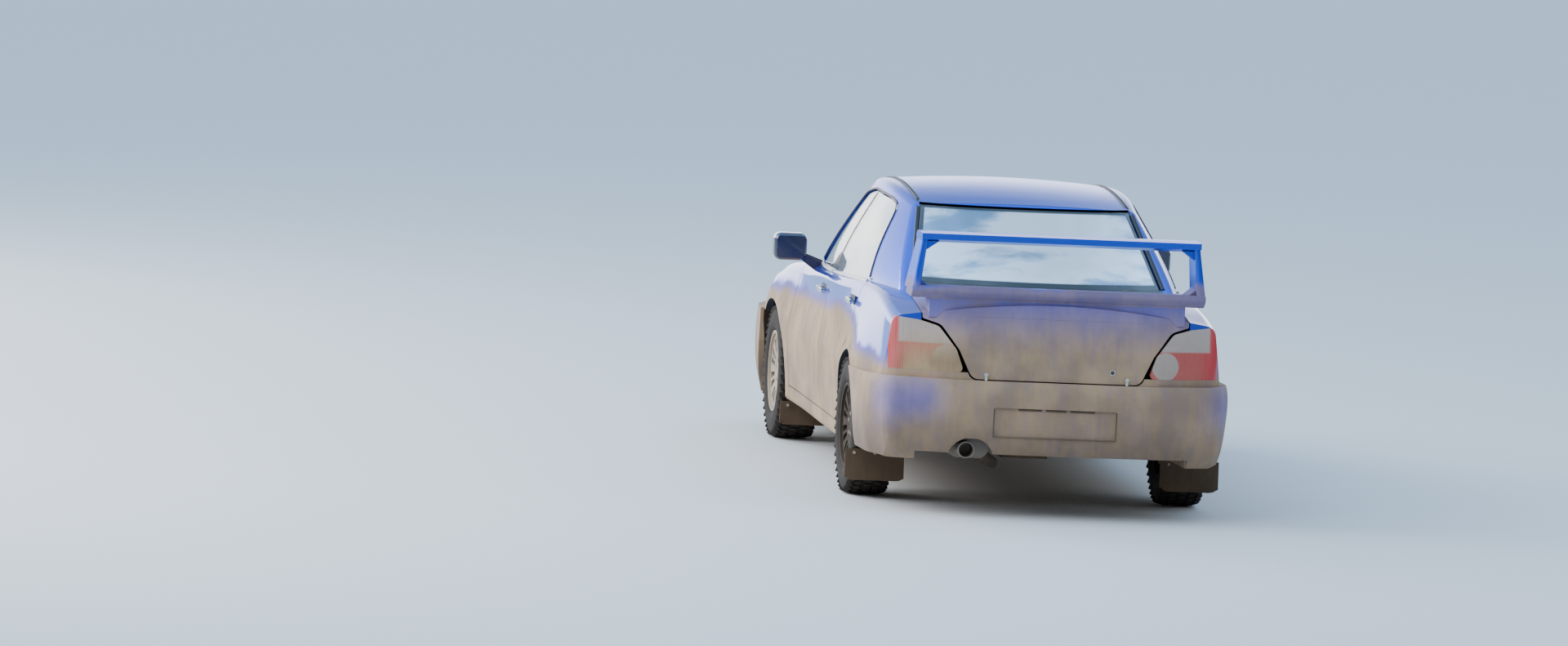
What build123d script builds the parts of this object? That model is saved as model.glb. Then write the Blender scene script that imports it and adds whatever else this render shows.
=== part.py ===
from build123d import *
from functools import lru_cache
from math import atan2, cos, degrees, hypot, pi, sin, radians, sqrt
import os

os.makedirs("parts", exist_ok=True)

# Rally car, millimetres. The car faces -Y, its left side is +X, and the origin is
# on the ground below the middle of its length.

# Overall size
LENGTH = 4415.0
WHEELBASE = 2540.0
FRONT_OVERHANG = 900.0
TRACK = 1490.0
HALF_WIDTH = 870.0
NOSE = -LENGTH / 2
TAIL = LENGTH / 2
FRONT_AXLE = NOSE + FRONT_OVERHANG
REAR_AXLE = FRONT_AXLE + WHEELBASE

# Wheels and arches
TYRE_RADIUS = 323.0
TYRE_WIDTH = 205.0
RIM_RADIUS = 190.0
AXLE_Z = TYRE_RADIUS
WHEEL_X = TRACK / 2
ARCH_RADIUS = 352.0
FRONT_TUB_RADIUS = 395.0
REAR_TUB_RADIUS = 366.0
TUB_WALL = 6.0
FRONT_TUB_X = 446.0
REAR_TUB_X = 520.0

# Panels
SKIN = 30.0
GAP = 6.0
SHUT_GAP = 7.0
INNER_GAP = 12.0
CABIN_HALF = 715.0
SILL_HALF = 715.0
HEEL_HALF = 700.0
FLOOR_Z = 215.0
FLOOR_THICK = 25.0
BOOT_FLOOR_Z = 380.0
HEEL_Y = 855.0
RAIL_DEPTH = 45.0

# Side openings
DOOR_FRONT_Y = -850.0
DOOR_SPLIT_Y = 205.0
DOOR_REAR_Y = 1075.0
DOOR_BOTTOM_Z = 300.0
DOOR_ARCH_GAP = 63.0
DOOR_STEP = 22.0
B_POST_FRONT = 144.0
B_POST_REAR = 200.0
B_PILLAR_HALF = 15.0
HINGE_ROOM = 135.0
BELT_Y = -480.0
BELT_Z = 935.0
BELT_SLOPE = 55.0 / 1480.0
GLASS_DEPTH = 8.0
GLASS_THICK = 6.0
GLASS_GAP = 9.0
GLASS_SEAT = 0.4
SEAT_GAP = 0.5

# Roof, screens, bonnet and boot lid
ROOF_HALF = 500.0
SCREEN_TOP_Z = 1379.0
SCREEN_BASE_Z = 925.0
SCREEN_BASE_HALF = 655.0
BACKLIGHT_TOP_Z = 1357.0
BACKLIGHT_BASE_Z = 1030.0
BACKLIGHT_BASE_HALF = 590.0
BONNET_HINGE_Y = -895.0
BONNET_HINGE_Z = 905.0
LID_FRONT_Y = 1640.0
LID_HALF = 625.0
DECK_Y = 1480.0
FIREWALL_Y = -930.0
FIREWALL_THICK = 25.0
A_POST_Y = FIREWALL_Y + FIREWALL_THICK
COWL_HALF = 640.0
TAIL_PANEL_Y = 2060.0
LAMP_BASE_Z = 674.0
PILLAR_OUT = 28.0
PILLAR_IN = 63.0
BULKHEAD_Y = 1165.0
BUMPER_TOP_FRONT = 600.0
BUMPER_TOP_SIDE = 617.0
BUMPER_TOP_REAR = 640.0
REBATE = 38.0
INSIDE = 30.6
REAR_BUMPER_FRONT_Y = 1386.0

# Steering
KINGPIN_X = 652.0
KINGPIN_LEAN = 0.17
DISC_RADIUS = 147.0


def belt(y):
    return BELT_Z + (y - BELT_Y) * BELT_SLOPE


def outline(points, radii=None):
    if radii is None:
        return make_face(Polyline(*points, close=True))
    return make_face(FilletPolyline(*points, radius=radii, close=True))


def side_prism(points, x0, x1, radii=None):
    """Outline of (y, z) points, extruded across the car from x0 to x1."""
    return extrude(Plane.YZ.offset(x0) * outline(points, radii), amount=x1 - x0)


def end_prism(points, y0, y1, radii=None):
    """Outline of (x, z) points, extruded along the car from y0 to y1."""
    plane = Plane((0, y0, 0), x_dir=(1, 0, 0), z_dir=(0, -1, 0))
    return extrude(plane * outline(points, radii), amount=y0 - y1)


def plan_prism(points, z0, z1, radii=None):
    """Outline of (x, y) points, extruded upwards from z0 to z1."""
    return extrude(Plane.XY.offset(z0) * outline(points, radii), amount=z1 - z0)


def block(x0, x1, y0, y1, z0, z1):
    size = (x1 - x0, y1 - y0, z1 - z0)
    return Pos((x0 + x1) / 2, (y0 + y1) / 2, (z0 + z1) / 2) * Box(*size)


def cross_cylinder(radius, x0, x1, y, z):
    """Cylinder whose axis lies across the car."""
    return Pos((x0 + x1) / 2, y, z) * (Rot(0, 90, 0) * Cylinder(radius, x1 - x0))


def cylinder_between(radius, a, b):
    a, b = Vector(*a), Vector(*b)
    plane = Plane(origin=a, z_dir=b - a)
    return extrude(plane * Circle(radius), amount=(b - a).length)


def tube_along(points, radius, bends):
    path = FilletPolyline(*points, radius=bends)
    start = Vector(*points[0])
    plane = Plane(origin=start, z_dir=Vector(*points[1]) - start)
    return sweep(plane * Circle(radius), path=path)


def mirrored(shape):
    return mirror(shape, about=Plane.YZ)


def both(shape):
    return shape + mirrored(shape)


# Lower body, one cross section a row. Widths are measured inboard of HALF_WIDTH.
# y, sill in, waist in, shoulder in, sill z, waist z, shoulder z, crown z
HULL_ROWS = [
    (NOSE - 42, 110, 70, 230, 215, 470, 660, 706),
    (FRONT_AXLE - 450, 60, 26, 150, 215, 560, 762, 814),
    (FRONT_AXLE, 40, 0, 86, 215, 690, 852, 886),
    (FRONT_AXLE + 480, 55, 25, 90, 215, 580, 890, 935),
    (0, 58, 30, 78, 215, 600, 940, 960),
    (REAR_AXLE - 480, 55, 25, 82, 215, 600, 975, 1000),
    (REAR_AXLE, 40, 8, 112, 230, 630, 983, 1030),
    (REAR_AXLE + 470, 50, 26, 112, 250, 640, 955, 1025),
    (TAIL + 42, 80, 60, 165, 260, 650, 915, 985),
]
SILL_FILLET = 30.0
WAIST_FILLET = 300.0
SHOULDER_FILLET = 60.0

# Plan shape of the nose and the tail at four heights.
# z, nose centre y, nose side y, tail centre y, tail side y
END_ROWS = [
    (120, NOSE + 110, NOSE + 150, TAIL - 125, TAIL - 145),
    (450, NOSE + 38, NOSE + 72, TAIL - 36, TAIL - 50),
    (700, NOSE + 42, NOSE + 82, TAIL - 36, TAIL - 50),
    (1060, NOSE + 168, NOSE + 218, TAIL - 122, TAIL - 140),
]

# Greenhouse, one horizontal section a row: middle and corner of the windscreen,
# middle of the side, corner and middle of the backlight.
# z, screen y, corner x, corner y, side x, side y, rear corner x, rear corner y, rear y
GREENHOUSE_ROWS = [
    (900, -1010, 700, -800, 795, 150, 665, 1660, 1826),
    (1160, -625, 622, -480, 696, 175, 600, 1255, 1385),
    (1400, -270, 520, -190, 560, 200, 500, 880, 945),
    (1460, -181, 495, -117, 526, 206, 475, 786, 835),
]
PILLAR_FILLET = 70.0
SCREEN_RAKE = 1.8

# Crown line of the roof: y, z
ROOF_ROWS = [(-1150, 1150), (-290, 1385), (200, 1425), (1000, 1368), (1900, 1200)]
ROOF_DROP = 57.0
ROOF_EDGE_FILLET = 45.0


def hull_section(row, inset):
    y, sill, waist, shoulder, z_sill, z_waist, z_shoulder, z_crown = row
    w1, w2, w3 = (HALF_WIDTH - w - inset for w in (sill, waist, shoulder))
    z0, z2, z3 = z_sill + inset, z_shoulder - inset, z_crown - inset
    plane = Plane((0, y, 0), x_dir=(1, 0, 0), z_dir=(0, -1, 0))
    sides = Polyline((-w3, z2), (-w2, z_waist), (-w1, z0), (w1, z0), (w2, z_waist), (w3, z2))
    face = make_face(sides + ThreePointArc((w3, z2), (0, z3), (-w3, z2)))
    for width, height, radius in (
        (w1, z0, SILL_FILLET), (w2, z_waist, WAIST_FILLET), (w3, z2, SHOULDER_FILLET)
    ):
        corner = [v for v in face.vertices() if abs(abs(v.X) - width) < 1 and abs(v.Y - height) < 1]
        face = fillet(corner, radius)
    return plane * face


def end_section(row, inset):
    z, nose, nose_side, tail, tail_side = row
    nose, nose_side = nose + inset, nose_side + inset
    tail, tail_side = tail - inset, tail_side - inset
    # x, y, fillet radius, from the nose round to the tail
    side = [
        (280, nose, 1500), (590, nose_side, 300), (750, nose_side + 120, 150),
        (920, nose_side + 500, 0), (920, tail_side - 420, 0),
        (760, tail_side - 90, 110), (480, tail_side, 250), (240, tail, 3000),
    ]
    points = [(x, y) for x, y, r in side] + [(-x, y) for x, y, r in reversed(side)]
    radii = [r for x, y, r in side] + [r for x, y, r in reversed(side)]
    return Pos(0, 0, z) * outline(points, radii)


def hull(inset):
    sides = loft([hull_section(row, inset) for row in HULL_ROWS])
    return sides & loft([end_section(row, inset) for row in END_ROWS])


def greenhouse_section(row, inset):
    z, screen, xf, yf, xm, ym, xr, yr, rear = row
    step = SCREEN_RAKE * inset
    screen, yf, yr, rear = screen + step, yf + step, yr - step, rear - step
    xf, xm, xr = xf - inset, xm - inset, xr - inset
    edges = (
        ThreePointArc((-xf, yf), (0, screen), (xf, yf))
        + ThreePointArc((xf, yf), (xm, ym), (xr, yr))
        + ThreePointArc((xr, yr), (0, rear), (-xr, yr))
        + ThreePointArc((-xr, yr), (-xm, ym), (-xf, yf))
    )
    face = make_face(edges)
    return Pos(0, 0, z) * fillet(face.vertices(), PILLAR_FILLET)


def roof_section(row, inset):
    y, z = row
    z -= inset
    low = z - ROOF_DROP
    plane = Plane((0, y, 0), x_dir=(1, 0, 0), z_dir=(0, -1, 0))
    box = Polyline((-800, low), (-800, 700), (800, 700), (800, low))
    return plane * make_face(box + ThreePointArc((800, low), (0, z), (-800, low)))


@lru_cache(None)
def greenhouse(inset):
    sides = loft([greenhouse_section(row, inset) for row in GREENHOUSE_ROWS])
    shape = sides & loft([roof_section(row, inset) for row in ROOF_ROWS])
    rim = [e for e in shape.edges() if e.center().Z > 1290]
    return fillet(rim, ROOF_EDGE_FILLET - min(inset, 15))


@lru_cache(None)
def body(inset):
    return hull(inset) + greenhouse(inset)


@lru_cache(None)
def skin():
    return body(0) - body(SKIN)


@lru_cache(None)
def left_skin():
    return skin() & block(250, 1000, -2400, 2400, 0, 1500)


def arch(radius, axle, x0=560.0, x1=1000.0):
    return cross_cylinder(radius, x0, x1, axle, AXLE_Z)


def front_door_prism(grow, rear_y, bottom, x0=CABIN_HALF, x1=1000.0):
    y0, y1, z0 = DOOR_FRONT_Y - grow, rear_y, bottom
    points = [(y0, z0), (y1, z0), (y1, belt(y1) + grow), (y0, belt(y0) + grow)]
    return side_prism(points, x0, x1)


def rear_door_prism(grow, front_y, step, x0=CABIN_HALF, x1=1000.0):
    y0, y1, z0 = front_y, DOOR_REAR_Y + grow - step, DOOR_BOTTOM_Z - grow + step
    points = [(y0, z0), (y1, z0), (y1, belt(y1) + grow), (y0, belt(y0) + grow)]
    return side_prism(points, x0, x1) - arch(ARCH_RADIUS + DOOR_ARCH_GAP - grow + step, REAR_AXLE)


# Daylight opening in side view: y, z, fillet radius
WINDOW_TOP = [(-215, 1300, 120), (150, 1350, 700), (600, 1345, 400), (770, 1325, 70)]
WINDOW_FRONT_Y = -668.0
WINDOW_REAR_Y = 1018.0


def window_prism(shrink, y0=None, y1=None):
    """Side window opening, made smaller by shrink and kept between y0 and y1."""
    top = [(y, z - shrink, r) for y, z, r in WINDOW_TOP]
    top[0] = (WINDOW_TOP[0][0] + shrink, WINDOW_TOP[0][1] - shrink, WINDOW_TOP[0][2])
    top[-1] = (WINDOW_TOP[-1][0] - shrink, WINDOW_TOP[-1][1] - shrink, WINDOW_TOP[-1][2])
    front, rear = WINDOW_FRONT_Y + 1.6 * shrink, WINDOW_REAR_Y - 1.4 * shrink
    points = [(front, belt(front))] + [(y, z) for y, z, r in top] + [(rear, belt(rear))]
    radii = [0] + [r for y, z, r in top] + [0]
    prism = side_prism(points, 300, 1000, radii)
    if y0 is not None:
        prism = prism & block(300, 1000, y0, 2000, 0, 1500)
    if y1 is not None:
        prism = prism & block(300, 1000, -2000, y1, 0, 1500)
    return prism


def screen_prism(base_half, base_z, top_z, y0, y1, grow):
    points = [
        (-base_half - grow, base_z - grow), (base_half + grow, base_z - grow),
        (ROOF_HALF + grow, top_z + grow), (-ROOF_HALF - grow, top_z + grow),
    ]
    return end_prism(points, y0, y1)


def windscreen_prism(grow):
    return screen_prism(SCREEN_BASE_HALF, SCREEN_BASE_Z, SCREEN_TOP_Z, -1200, 0, grow)


def backlight_prism(grow):
    return screen_prism(BACKLIGHT_BASE_HALF, BACKLIGHT_BASE_Z, BACKLIGHT_TOP_Z, 850, 1900, grow)


# Right-hand half of the boot lid in rear view: x, z, fillet radius
LID_EDGE = [
    (393, 646, 45), (455, 775, 60), (540, 888, 60), (LID_HALF, 912, 8), (LID_HALF, 1100, 0),
]
# Left tail lamp in rear view: x, z, fillet radius
LAMP_EDGE = [
    (432, 674, 20), (470, 778, 60), (552, 880, 45), (640, 903, 20), (900, 930, 0), (900, 674, 0),
]


def lid_prism(grow):
    right = [(x + grow, z - grow if z < 700 else z, r) for x, z, r in LID_EDGE]
    points = [(x, z) for x, z, r in right] + [(-x, z) for x, z, r in reversed(right)]
    radii = [r for x, z, r in right] + [r for x, z, r in reversed(right)]
    return end_prism(points, LID_FRONT_Y - grow, 2400, radii)


def lamp_prism(grow):
    points = [(x - grow if x < 600 else x, z) for x, z, r in LAMP_EDGE]
    points = [(x, z - grow if z < 700 else z + (grow if z > 850 else 0)) for x, z in points]
    radii = [r for x, z, r in LAMP_EDGE]
    side = side_prism([(2058 - grow, 600), (1985 - grow, 960), (2400, 960), (2400, 600)], 300, 1000)
    return end_prism(points, 1900, 2400, radii) & side


# Headlamp in plan: x, y
HEADLAMP_PLAN = [(395, -2300), (395, -2080), (560, -2020), (700, -1900), (900, -1870), (900, -2300)]
HEADLAMP_BASE_Z = BUMPER_TOP_FRONT + SEAT_GAP


def headlamp_prism(grow):
    points = [(x - grow if x < 800 else x, y + grow if y > -2200 else y) for x, y in HEADLAMP_PLAN]
    return plan_prism(points, HEADLAMP_BASE_Z, 800)


# Bonnet in plan, left half: x, y
BONNET_PLAN = [(0, -1080), (350, -1045), (640, -935), (690, -918), (672, -1300), (640, -1900), (600, -2300)]


def bonnet_prism(grow):
    half = [(x + (grow if x else 0), y + grow if y > -1290 else y) for x, y in BONNET_PLAN]
    points = half + [(-x, y) for x, y in reversed(half) if x]
    return plan_prism(points, 640, 1100) & block(-900, 900, -2152 - grow, -800, 640, 1100)


def make_bonnet():
    panel = skin() & bonnet_prism(0)
    panel -= both(headlamp_prism(GAP))
    panel -= end_prism([(-420, 500), (420, 500), (400, 698), (-400, 698)], -2300, -2080)
    panel = max(panel.solids(), key=lambda s: s.volume)
    scoop = side_prism([(-1480, 835), (-1480, 912), (-1440, 925), (-1130, 905), (-1130, 880)], -215, 215)
    mouth = side_prism([(-1490, 860), (-1490, 902), (-1440, 913), (-1160, 893), (-1160, 872)], -195, 195)
    lip = [e for e in scoop.edges() if e.center().Z > 900 and abs(e.center().X) > 200]
    scoop = fillet(lip, 18) - mouth
    return panel + (scoop - body(SKIN)) - (mouth - body(0))


def make_boot_lid():
    lid = skin() & lid_prism(0)
    lid = max(lid.solids(), key=lambda s: s.volume)
    latch = block(-40, 40, 2110, 2145, 650, 700)
    return lid + (latch & body(SKIN))


def make_roof():
    edge = ROOF_HALF
    panel = skin() & block(-edge, edge, -700, 1300, 1200, 1500)
    panel -= windscreen_prism(0)
    panel -= backlight_prism(0)
    return max(panel.solids(), key=lambda s: s.volume)


def make_windscreen():
    band = greenhouse(GLASS_DEPTH) - greenhouse(GLASS_DEPTH + GLASS_THICK)
    return band & windscreen_prism(-GLASS_SEAT)


def make_backlight():
    band = greenhouse(GLASS_DEPTH) - greenhouse(GLASS_DEPTH + GLASS_THICK)
    return band & backlight_prism(-GLASS_SEAT)


def make_fender():
    rear = DOOR_FRONT_Y - SHUT_GAP
    panel = left_skin() & block(590, 1000, -2300, rear, 200, 1100)
    panel -= [
        arch(ARCH_RADIUS, FRONT_AXLE, 0),
        bonnet_prism(GAP),
        headlamp_prism(GLASS_SEAT),
        block(0, 1000, -2300, FRONT_AXLE, 0, BUMPER_TOP_FRONT + SEAT_GAP),
        block(0, SILL_HALF, -1500, 0, 0, 500),
        block(0, 778, -1500, A_POST_Y - 30, 0, 500),
        block(0, COWL_HALF, -1200, 0, 700, 1100),
    ]
    return max(panel.solids(), key=lambda s: s.volume)


def above_belt(y0, y1, lift):
    return side_prism([(y0, belt(y0) + lift), (y1, belt(y1) + lift), (y1, 1500), (y0, 1500)], 0, 1000)


def make_side_skin():
    front = DOOR_FRONT_Y - SHUT_GAP + GLASS_SEAT
    panel = left_skin() & block(ROOF_HALF, 1000, front, 2300, 200, 1500)
    panel -= [
        windscreen_prism(0),
        backlight_prism(0),
        block(0, COWL_HALF, -1000, -600, 0, SCREEN_BASE_Z + 5),
        block(0, SILL_HALF, -1000, 1400, 0, 700),
        block(0, 640, 1400, 2300, 0, 700),
        block(0, LID_HALF + GAP, LID_FRONT_Y - GAP, 2300, 650, 1100),
        block(0, BACKLIGHT_BASE_HALF, DECK_Y, LID_FRONT_Y + 1, 900, BACKLIGHT_BASE_Z + 1),
        lid_prism(GAP),
        lamp_prism(GLASS_SEAT),
        block(0, 1000, TAIL_PANEL_Y - SEAT_GAP, 2300, 0, LAMP_BASE_Z - GLASS_SEAT),
        front_door_prism(SHUT_GAP, DOOR_SPLIT_Y + 10, DOOR_BOTTOM_Z - GAP, CABIN_HALF - SHUT_GAP),
        rear_door_prism(GAP, DOOR_SPLIT_Y, 0, CABIN_HALF - SHUT_GAP),
        window_prism(0),
        arch(ARCH_RADIUS, REAR_AXLE),
    ]
    return max(panel.solids(), key=lambda s: s.volume)


def door_zone():
    front = front_door_prism(SHUT_GAP, DOOR_SPLIT_Y + 10, DOOR_BOTTOM_Z - GAP)
    return front + rear_door_prism(GAP, DOOR_SPLIT_Y, 0)


def make_side_core():
    """Sill, A-post and B-post behind the skin, as deep as the doors."""
    core = body(SKIN) & block(CABIN_HALF, 1000, A_POST_Y, BULKHEAD_Y, FLOOR_Z, 1000)
    core -= [
        door_zone() - body(REBATE),
        above_belt(A_POST_Y - 5, BULKHEAD_Y + 5, 0),
        front_door_prism(SHUT_GAP, B_POST_FRONT, DOOR_BOTTOM_Z + DOOR_STEP - INNER_GAP),
        rear_door_prism(INNER_GAP, B_POST_REAR, DOOR_STEP),
        arch(REAR_TUB_RADIUS + TUB_WALL + SEAT_GAP, REAR_AXLE),
        arch(FRONT_TUB_RADIUS + TUB_WALL + SEAT_GAP, FRONT_AXLE),
        block(700, 1000, A_POST_Y - 5, DOOR_FRONT_Y - SHUT_GAP + SEAT_GAP, 0, 1000),
    ]
    core -= [
        block(740, 1000, y, y + HINGE_ROOM, DOOR_BOTTOM_Z - GAP, DOOR_BOTTOM_Z + DOOR_STEP)
        for y in (DOOR_FRONT_Y, B_POST_REAR)
    ]
    return core


def make_pillars():
    """Inner depth of the roof rail, the B-pillar behind the glass and the A-pillar's foot."""
    rails = (greenhouse(SKIN) - greenhouse(RAIL_DEPTH)) & block(ROOF_HALF, 1000, -900, 1700, 900, 1500)
    rails &= above_belt(-900, 1700, GAP)
    rails -= [windscreen_prism(0), backlight_prism(0), window_prism(0)]
    pillar = greenhouse(PILLAR_OUT) - greenhouse(PILLAR_IN)
    pillar &= side_prism([(150, belt(150)), (255, belt(255)), (250, 1365), (165, 1365)], 400, 1000)
    foot = block(COWL_HALF + SEAT_GAP, 697, DOOR_FRONT_Y - SHUT_GAP + SEAT_GAP, -700, 850, 950)
    foot &= body(GLASS_DEPTH)
    foot -= [windscreen_prism(0), window_prism(0)]
    root = block(COWL_HALF + SEAT_GAP, 760, A_POST_Y, DOOR_FRONT_Y - SHUT_GAP, 700, 890)
    root &= body(REBATE)
    root -= arch(FRONT_TUB_RADIUS + TUB_WALL + SEAT_GAP, FRONT_AXLE)
    return rails + pillar + foot + root


def make_body_side():
    return make_side_skin() + [make_side_core(), make_pillars()]


def make_door_front():
    prism = front_door_prism(0, DOOR_SPLIT_Y - GAP / 2, DOOR_BOTTOM_Z)
    outer = left_skin() & prism
    inner_prism = front_door_prism(0, B_POST_FRONT - INNER_GAP, DOOR_BOTTOM_Z + DOOR_STEP)
    inner = body(SKIN) & inner_prism
    swing_relief = block(700, 740, DOOR_FRONT_Y - 10, DOOR_FRONT_Y + 105, 850, 940)
    return (outer + inner) - swing_relief


def make_door_rear():
    outer = left_skin() & rear_door_prism(0, DOOR_SPLIT_Y + GAP / 2, 0)
    inner = body(SKIN) & rear_door_prism(0, DOOR_SPLIT_Y + GAP / 2, DOOR_STEP)
    return outer + inner


def side_glass(y0, y1):
    band = greenhouse(GLASS_DEPTH) - greenhouse(GLASS_DEPTH + GLASS_THICK)
    return band & window_prism(GLASS_GAP, y0, y1)


def make_mirror():
    shell = Pos(888, -595, 995) * Box(162, 104, 132)
    shell = fillet(shell.edges(), 34)
    shell -= Pos(888, -543, 995) * Box(134, 16, 106)
    arm = end_prism([(722, 885), (765, 885), (852, 945), (852, 980), (775, 952), (722, 932)], -640, -575)
    return shell + (arm - [body(0), hull_clearance()])


def bumper_section(z, centre, half, side, corner, end):
    """Plan outline of a bumper, its arms running in to the wheel arch."""
    sign = 1 if centre > 0 else -1
    # x, y, fillet radius
    edge = [
        (230, centre, 3000), (500, centre - 14 * sign, 260), (corner, centre - 75 * sign, 90),
        (side, centre - 300 * sign, 300), (half, end, 0),
    ]
    points = [(x, y) for x, y, r in edge] + [(-x, y) for x, y, r in reversed(edge)]
    radii = [r for x, y, r in edge] + [r for x, y, r in reversed(edge)]
    return Pos(0, 0, z) * outline(points, radii)


# z, centre y, arch half width, side half width, corner x
REAR_BUMPER_ROWS = [
    (262, TAIL - 45, 850, 826, 745),
    (380, TAIL - 12, 866, 848, 772),
    (520, TAIL, 870, 858, 784),
    (588, TAIL - 4, 870, 857, 784),
    (645, TAIL - 24, 867, 846, 772),
]
FRONT_BUMPER_ROWS = [
    (185, NOSE + 70, 845, 815, 690),
    (300, NOSE + 12, 864, 845, 728),
    (450, NOSE + 1.5, 870, 856, 745),
    (605, NOSE + 20, 868, 850, 742),
]


@lru_cache(None)
def hull_clearance():
    return hull(-SEAT_GAP)


def make_rear_bumper():
    shell = loft([bumper_section(*row, REAR_BUMPER_FRONT_Y) for row in REAR_BUMPER_ROWS])
    side = [
        (REAR_BUMPER_FRONT_Y, 200), (REAR_BUMPER_FRONT_Y, BUMPER_TOP_SIDE), (2000, BUMPER_TOP_REAR),
        (2300, BUMPER_TOP_REAR), (2300, 200),
    ]
    shell &= side_prism(side, -1000, 1000)
    cut_out = Pos(384, 2180, 262) * (Rot(90, 0, 0) * Cylinder(112, 300))
    shell -= [
        hull_clearance(),
        block(-770, 770, 1300, 2110, 200, 600),
        block(-640, 640, 2000, 2300, 200, 300),
        arch(ARCH_RADIUS, REAR_AXLE),
        mirrored(arch(ARCH_RADIUS, REAR_AXLE)),
        end_prism([(-290, 380), (290, 380), (290, 520), (-290, 520)], TAIL - 10, 2300, [12] * 4),
        cut_out & block(270, 500, 2000, 2300, 200, 370),
    ]
    return max(shell.solids(), key=lambda s: s.volume)


def make_front_bumper():
    shell = loft([bumper_section(*row, -1640) for row in FRONT_BUMPER_ROWS])
    shell &= block(-1000, 1000, -2300, -1600, 190, BUMPER_TOP_FRONT)
    fog = Pos(585, -2200, 330) * (Rot(90, 0, 0) * Cylinder(62, 160))
    shell -= [
        hull_clearance(),
        block(-768, 768, -2080, -1500, 100, 560),
        arch(ARCH_RADIUS, FRONT_AXLE),
        mirrored(arch(ARCH_RADIUS, FRONT_AXLE)),
        end_prism([(-420, 240), (420, 240), (350, 380), (-350, 380)], -2400, -2000, [25] * 4),
        fog,
        mirrored(fog),
    ]
    return max(shell.solids(), key=lambda s: s.volume)


def make_grille():
    base = BUMPER_TOP_FRONT + SEAT_GAP
    frame = [(-392, base), (392, base), (385, 693), (-385, 693)]
    panel = skin() & end_prism(frame, -2250, -2081)
    for z in (608, 629, 650, 671):
        for x0, x1 in ((-372, -6), (6, 372)):
            panel -= block(x0, x1, -2300, -2000, z, z + 15)
    return max(panel.solids(), key=lambda s: s.volume)


def make_headlamps():
    lamp = left_skin() & headlamp_prism(0)
    return both(max(lamp.solids(), key=lambda s: s.volume))


def make_tail_lamps():
    lamp = left_skin() & lamp_prism(0)
    return both(max(lamp.solids(), key=lambda s: s.volume))


def make_rear_wing():
    def blade(y, z, chord, thick, half):
        half_chord = chord / 2
        points = [
            (y - half_chord, z), (y - half_chord * 0.7, z + thick * 0.45), (y, z + thick * 0.5),
            (y + half_chord, z + thick * 0.45), (y + half_chord, z - thick * 0.1), (y, z - thick * 0.5),
            (y - half_chord * 0.8, z - thick * 0.4),
        ]
        return side_prism(points, -half, half, [6, 20, 60, 3, 3, 60, 12])
    upper = blade(2030, 1288, 200, 50, 655)
    lower = side_prism(
        [(1930, 1012), (1930, 1035), (1990, 1062), (2118, 1068), (2124, 1040), (2085, 1008)],
        -690, 690, [8, 20, 30, 8, 20, 25],
    )
    ends = [e for e in lower.edges() if abs(e.center().X) > 689]
    lower = fillet(ends, 7)
    post = loft([
        Plane.XY.offset(1045) * (Pos(671, 1998) * RectangleRounded(40, 250, 18)),
        Plane.XY.offset(1286) * (Pos(638, 2030) * RectangleRounded(30, 172, 14)),
    ])
    post += end_prism([(570, 1272), (650, 1272), (655, 1212)], 1965, 2095)
    post += end_prism([(600, 1054), (680, 1054), (668, 1112)], 1950, 2085)
    plinth = block(-600, 600, 1950, 2090, 920, 1022) - hull_clearance()
    return upper + lower + both(post) + plinth


def make_floor_pan():
    """Flat pan with its tunnel, heel board and the raised floor below the rear seat."""
    floor = block(-SILL_HALF, SILL_HALF, A_POST_Y, HEEL_Y, FLOOR_Z, FLOOR_Z + FLOOR_THICK)
    floor += end_prism([(-150, FLOOR_Z), (-120, 380), (120, 380), (150, FLOOR_Z)], A_POST_Y, HEEL_Y)
    floor += block(-HEEL_HALF, HEEL_HALF, HEEL_Y - 20, HEEL_Y, FLOOR_Z, BOOT_FLOOR_Z + 20)
    rear_half = REAR_TUB_X - TUB_WALL
    floor += block(-rear_half, rear_half, HEEL_Y - 20, BULKHEAD_Y, BOOT_FLOOR_Z, BOOT_FLOOR_Z + 20)
    hollow = [(-125, FLOOR_Z - 1), (-98, 355), (98, 355), (125, FLOOR_Z - 1)]
    return floor - end_prism(hollow, A_POST_Y - 1, HEEL_Y + 1)


def tub(radius, axle, x_in, inset):
    """Half-round wheel tub, open at the bottom and towards the fender."""
    ring = cross_cylinder(radius + TUB_WALL, x_in, 880, axle, AXLE_Z)
    ring -= cross_cylinder(radius, x_in - 1, 900, axle, AXLE_Z)
    return ring & block(0, 900, -2400, 2400, 260, 900) & body(inset)


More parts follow.
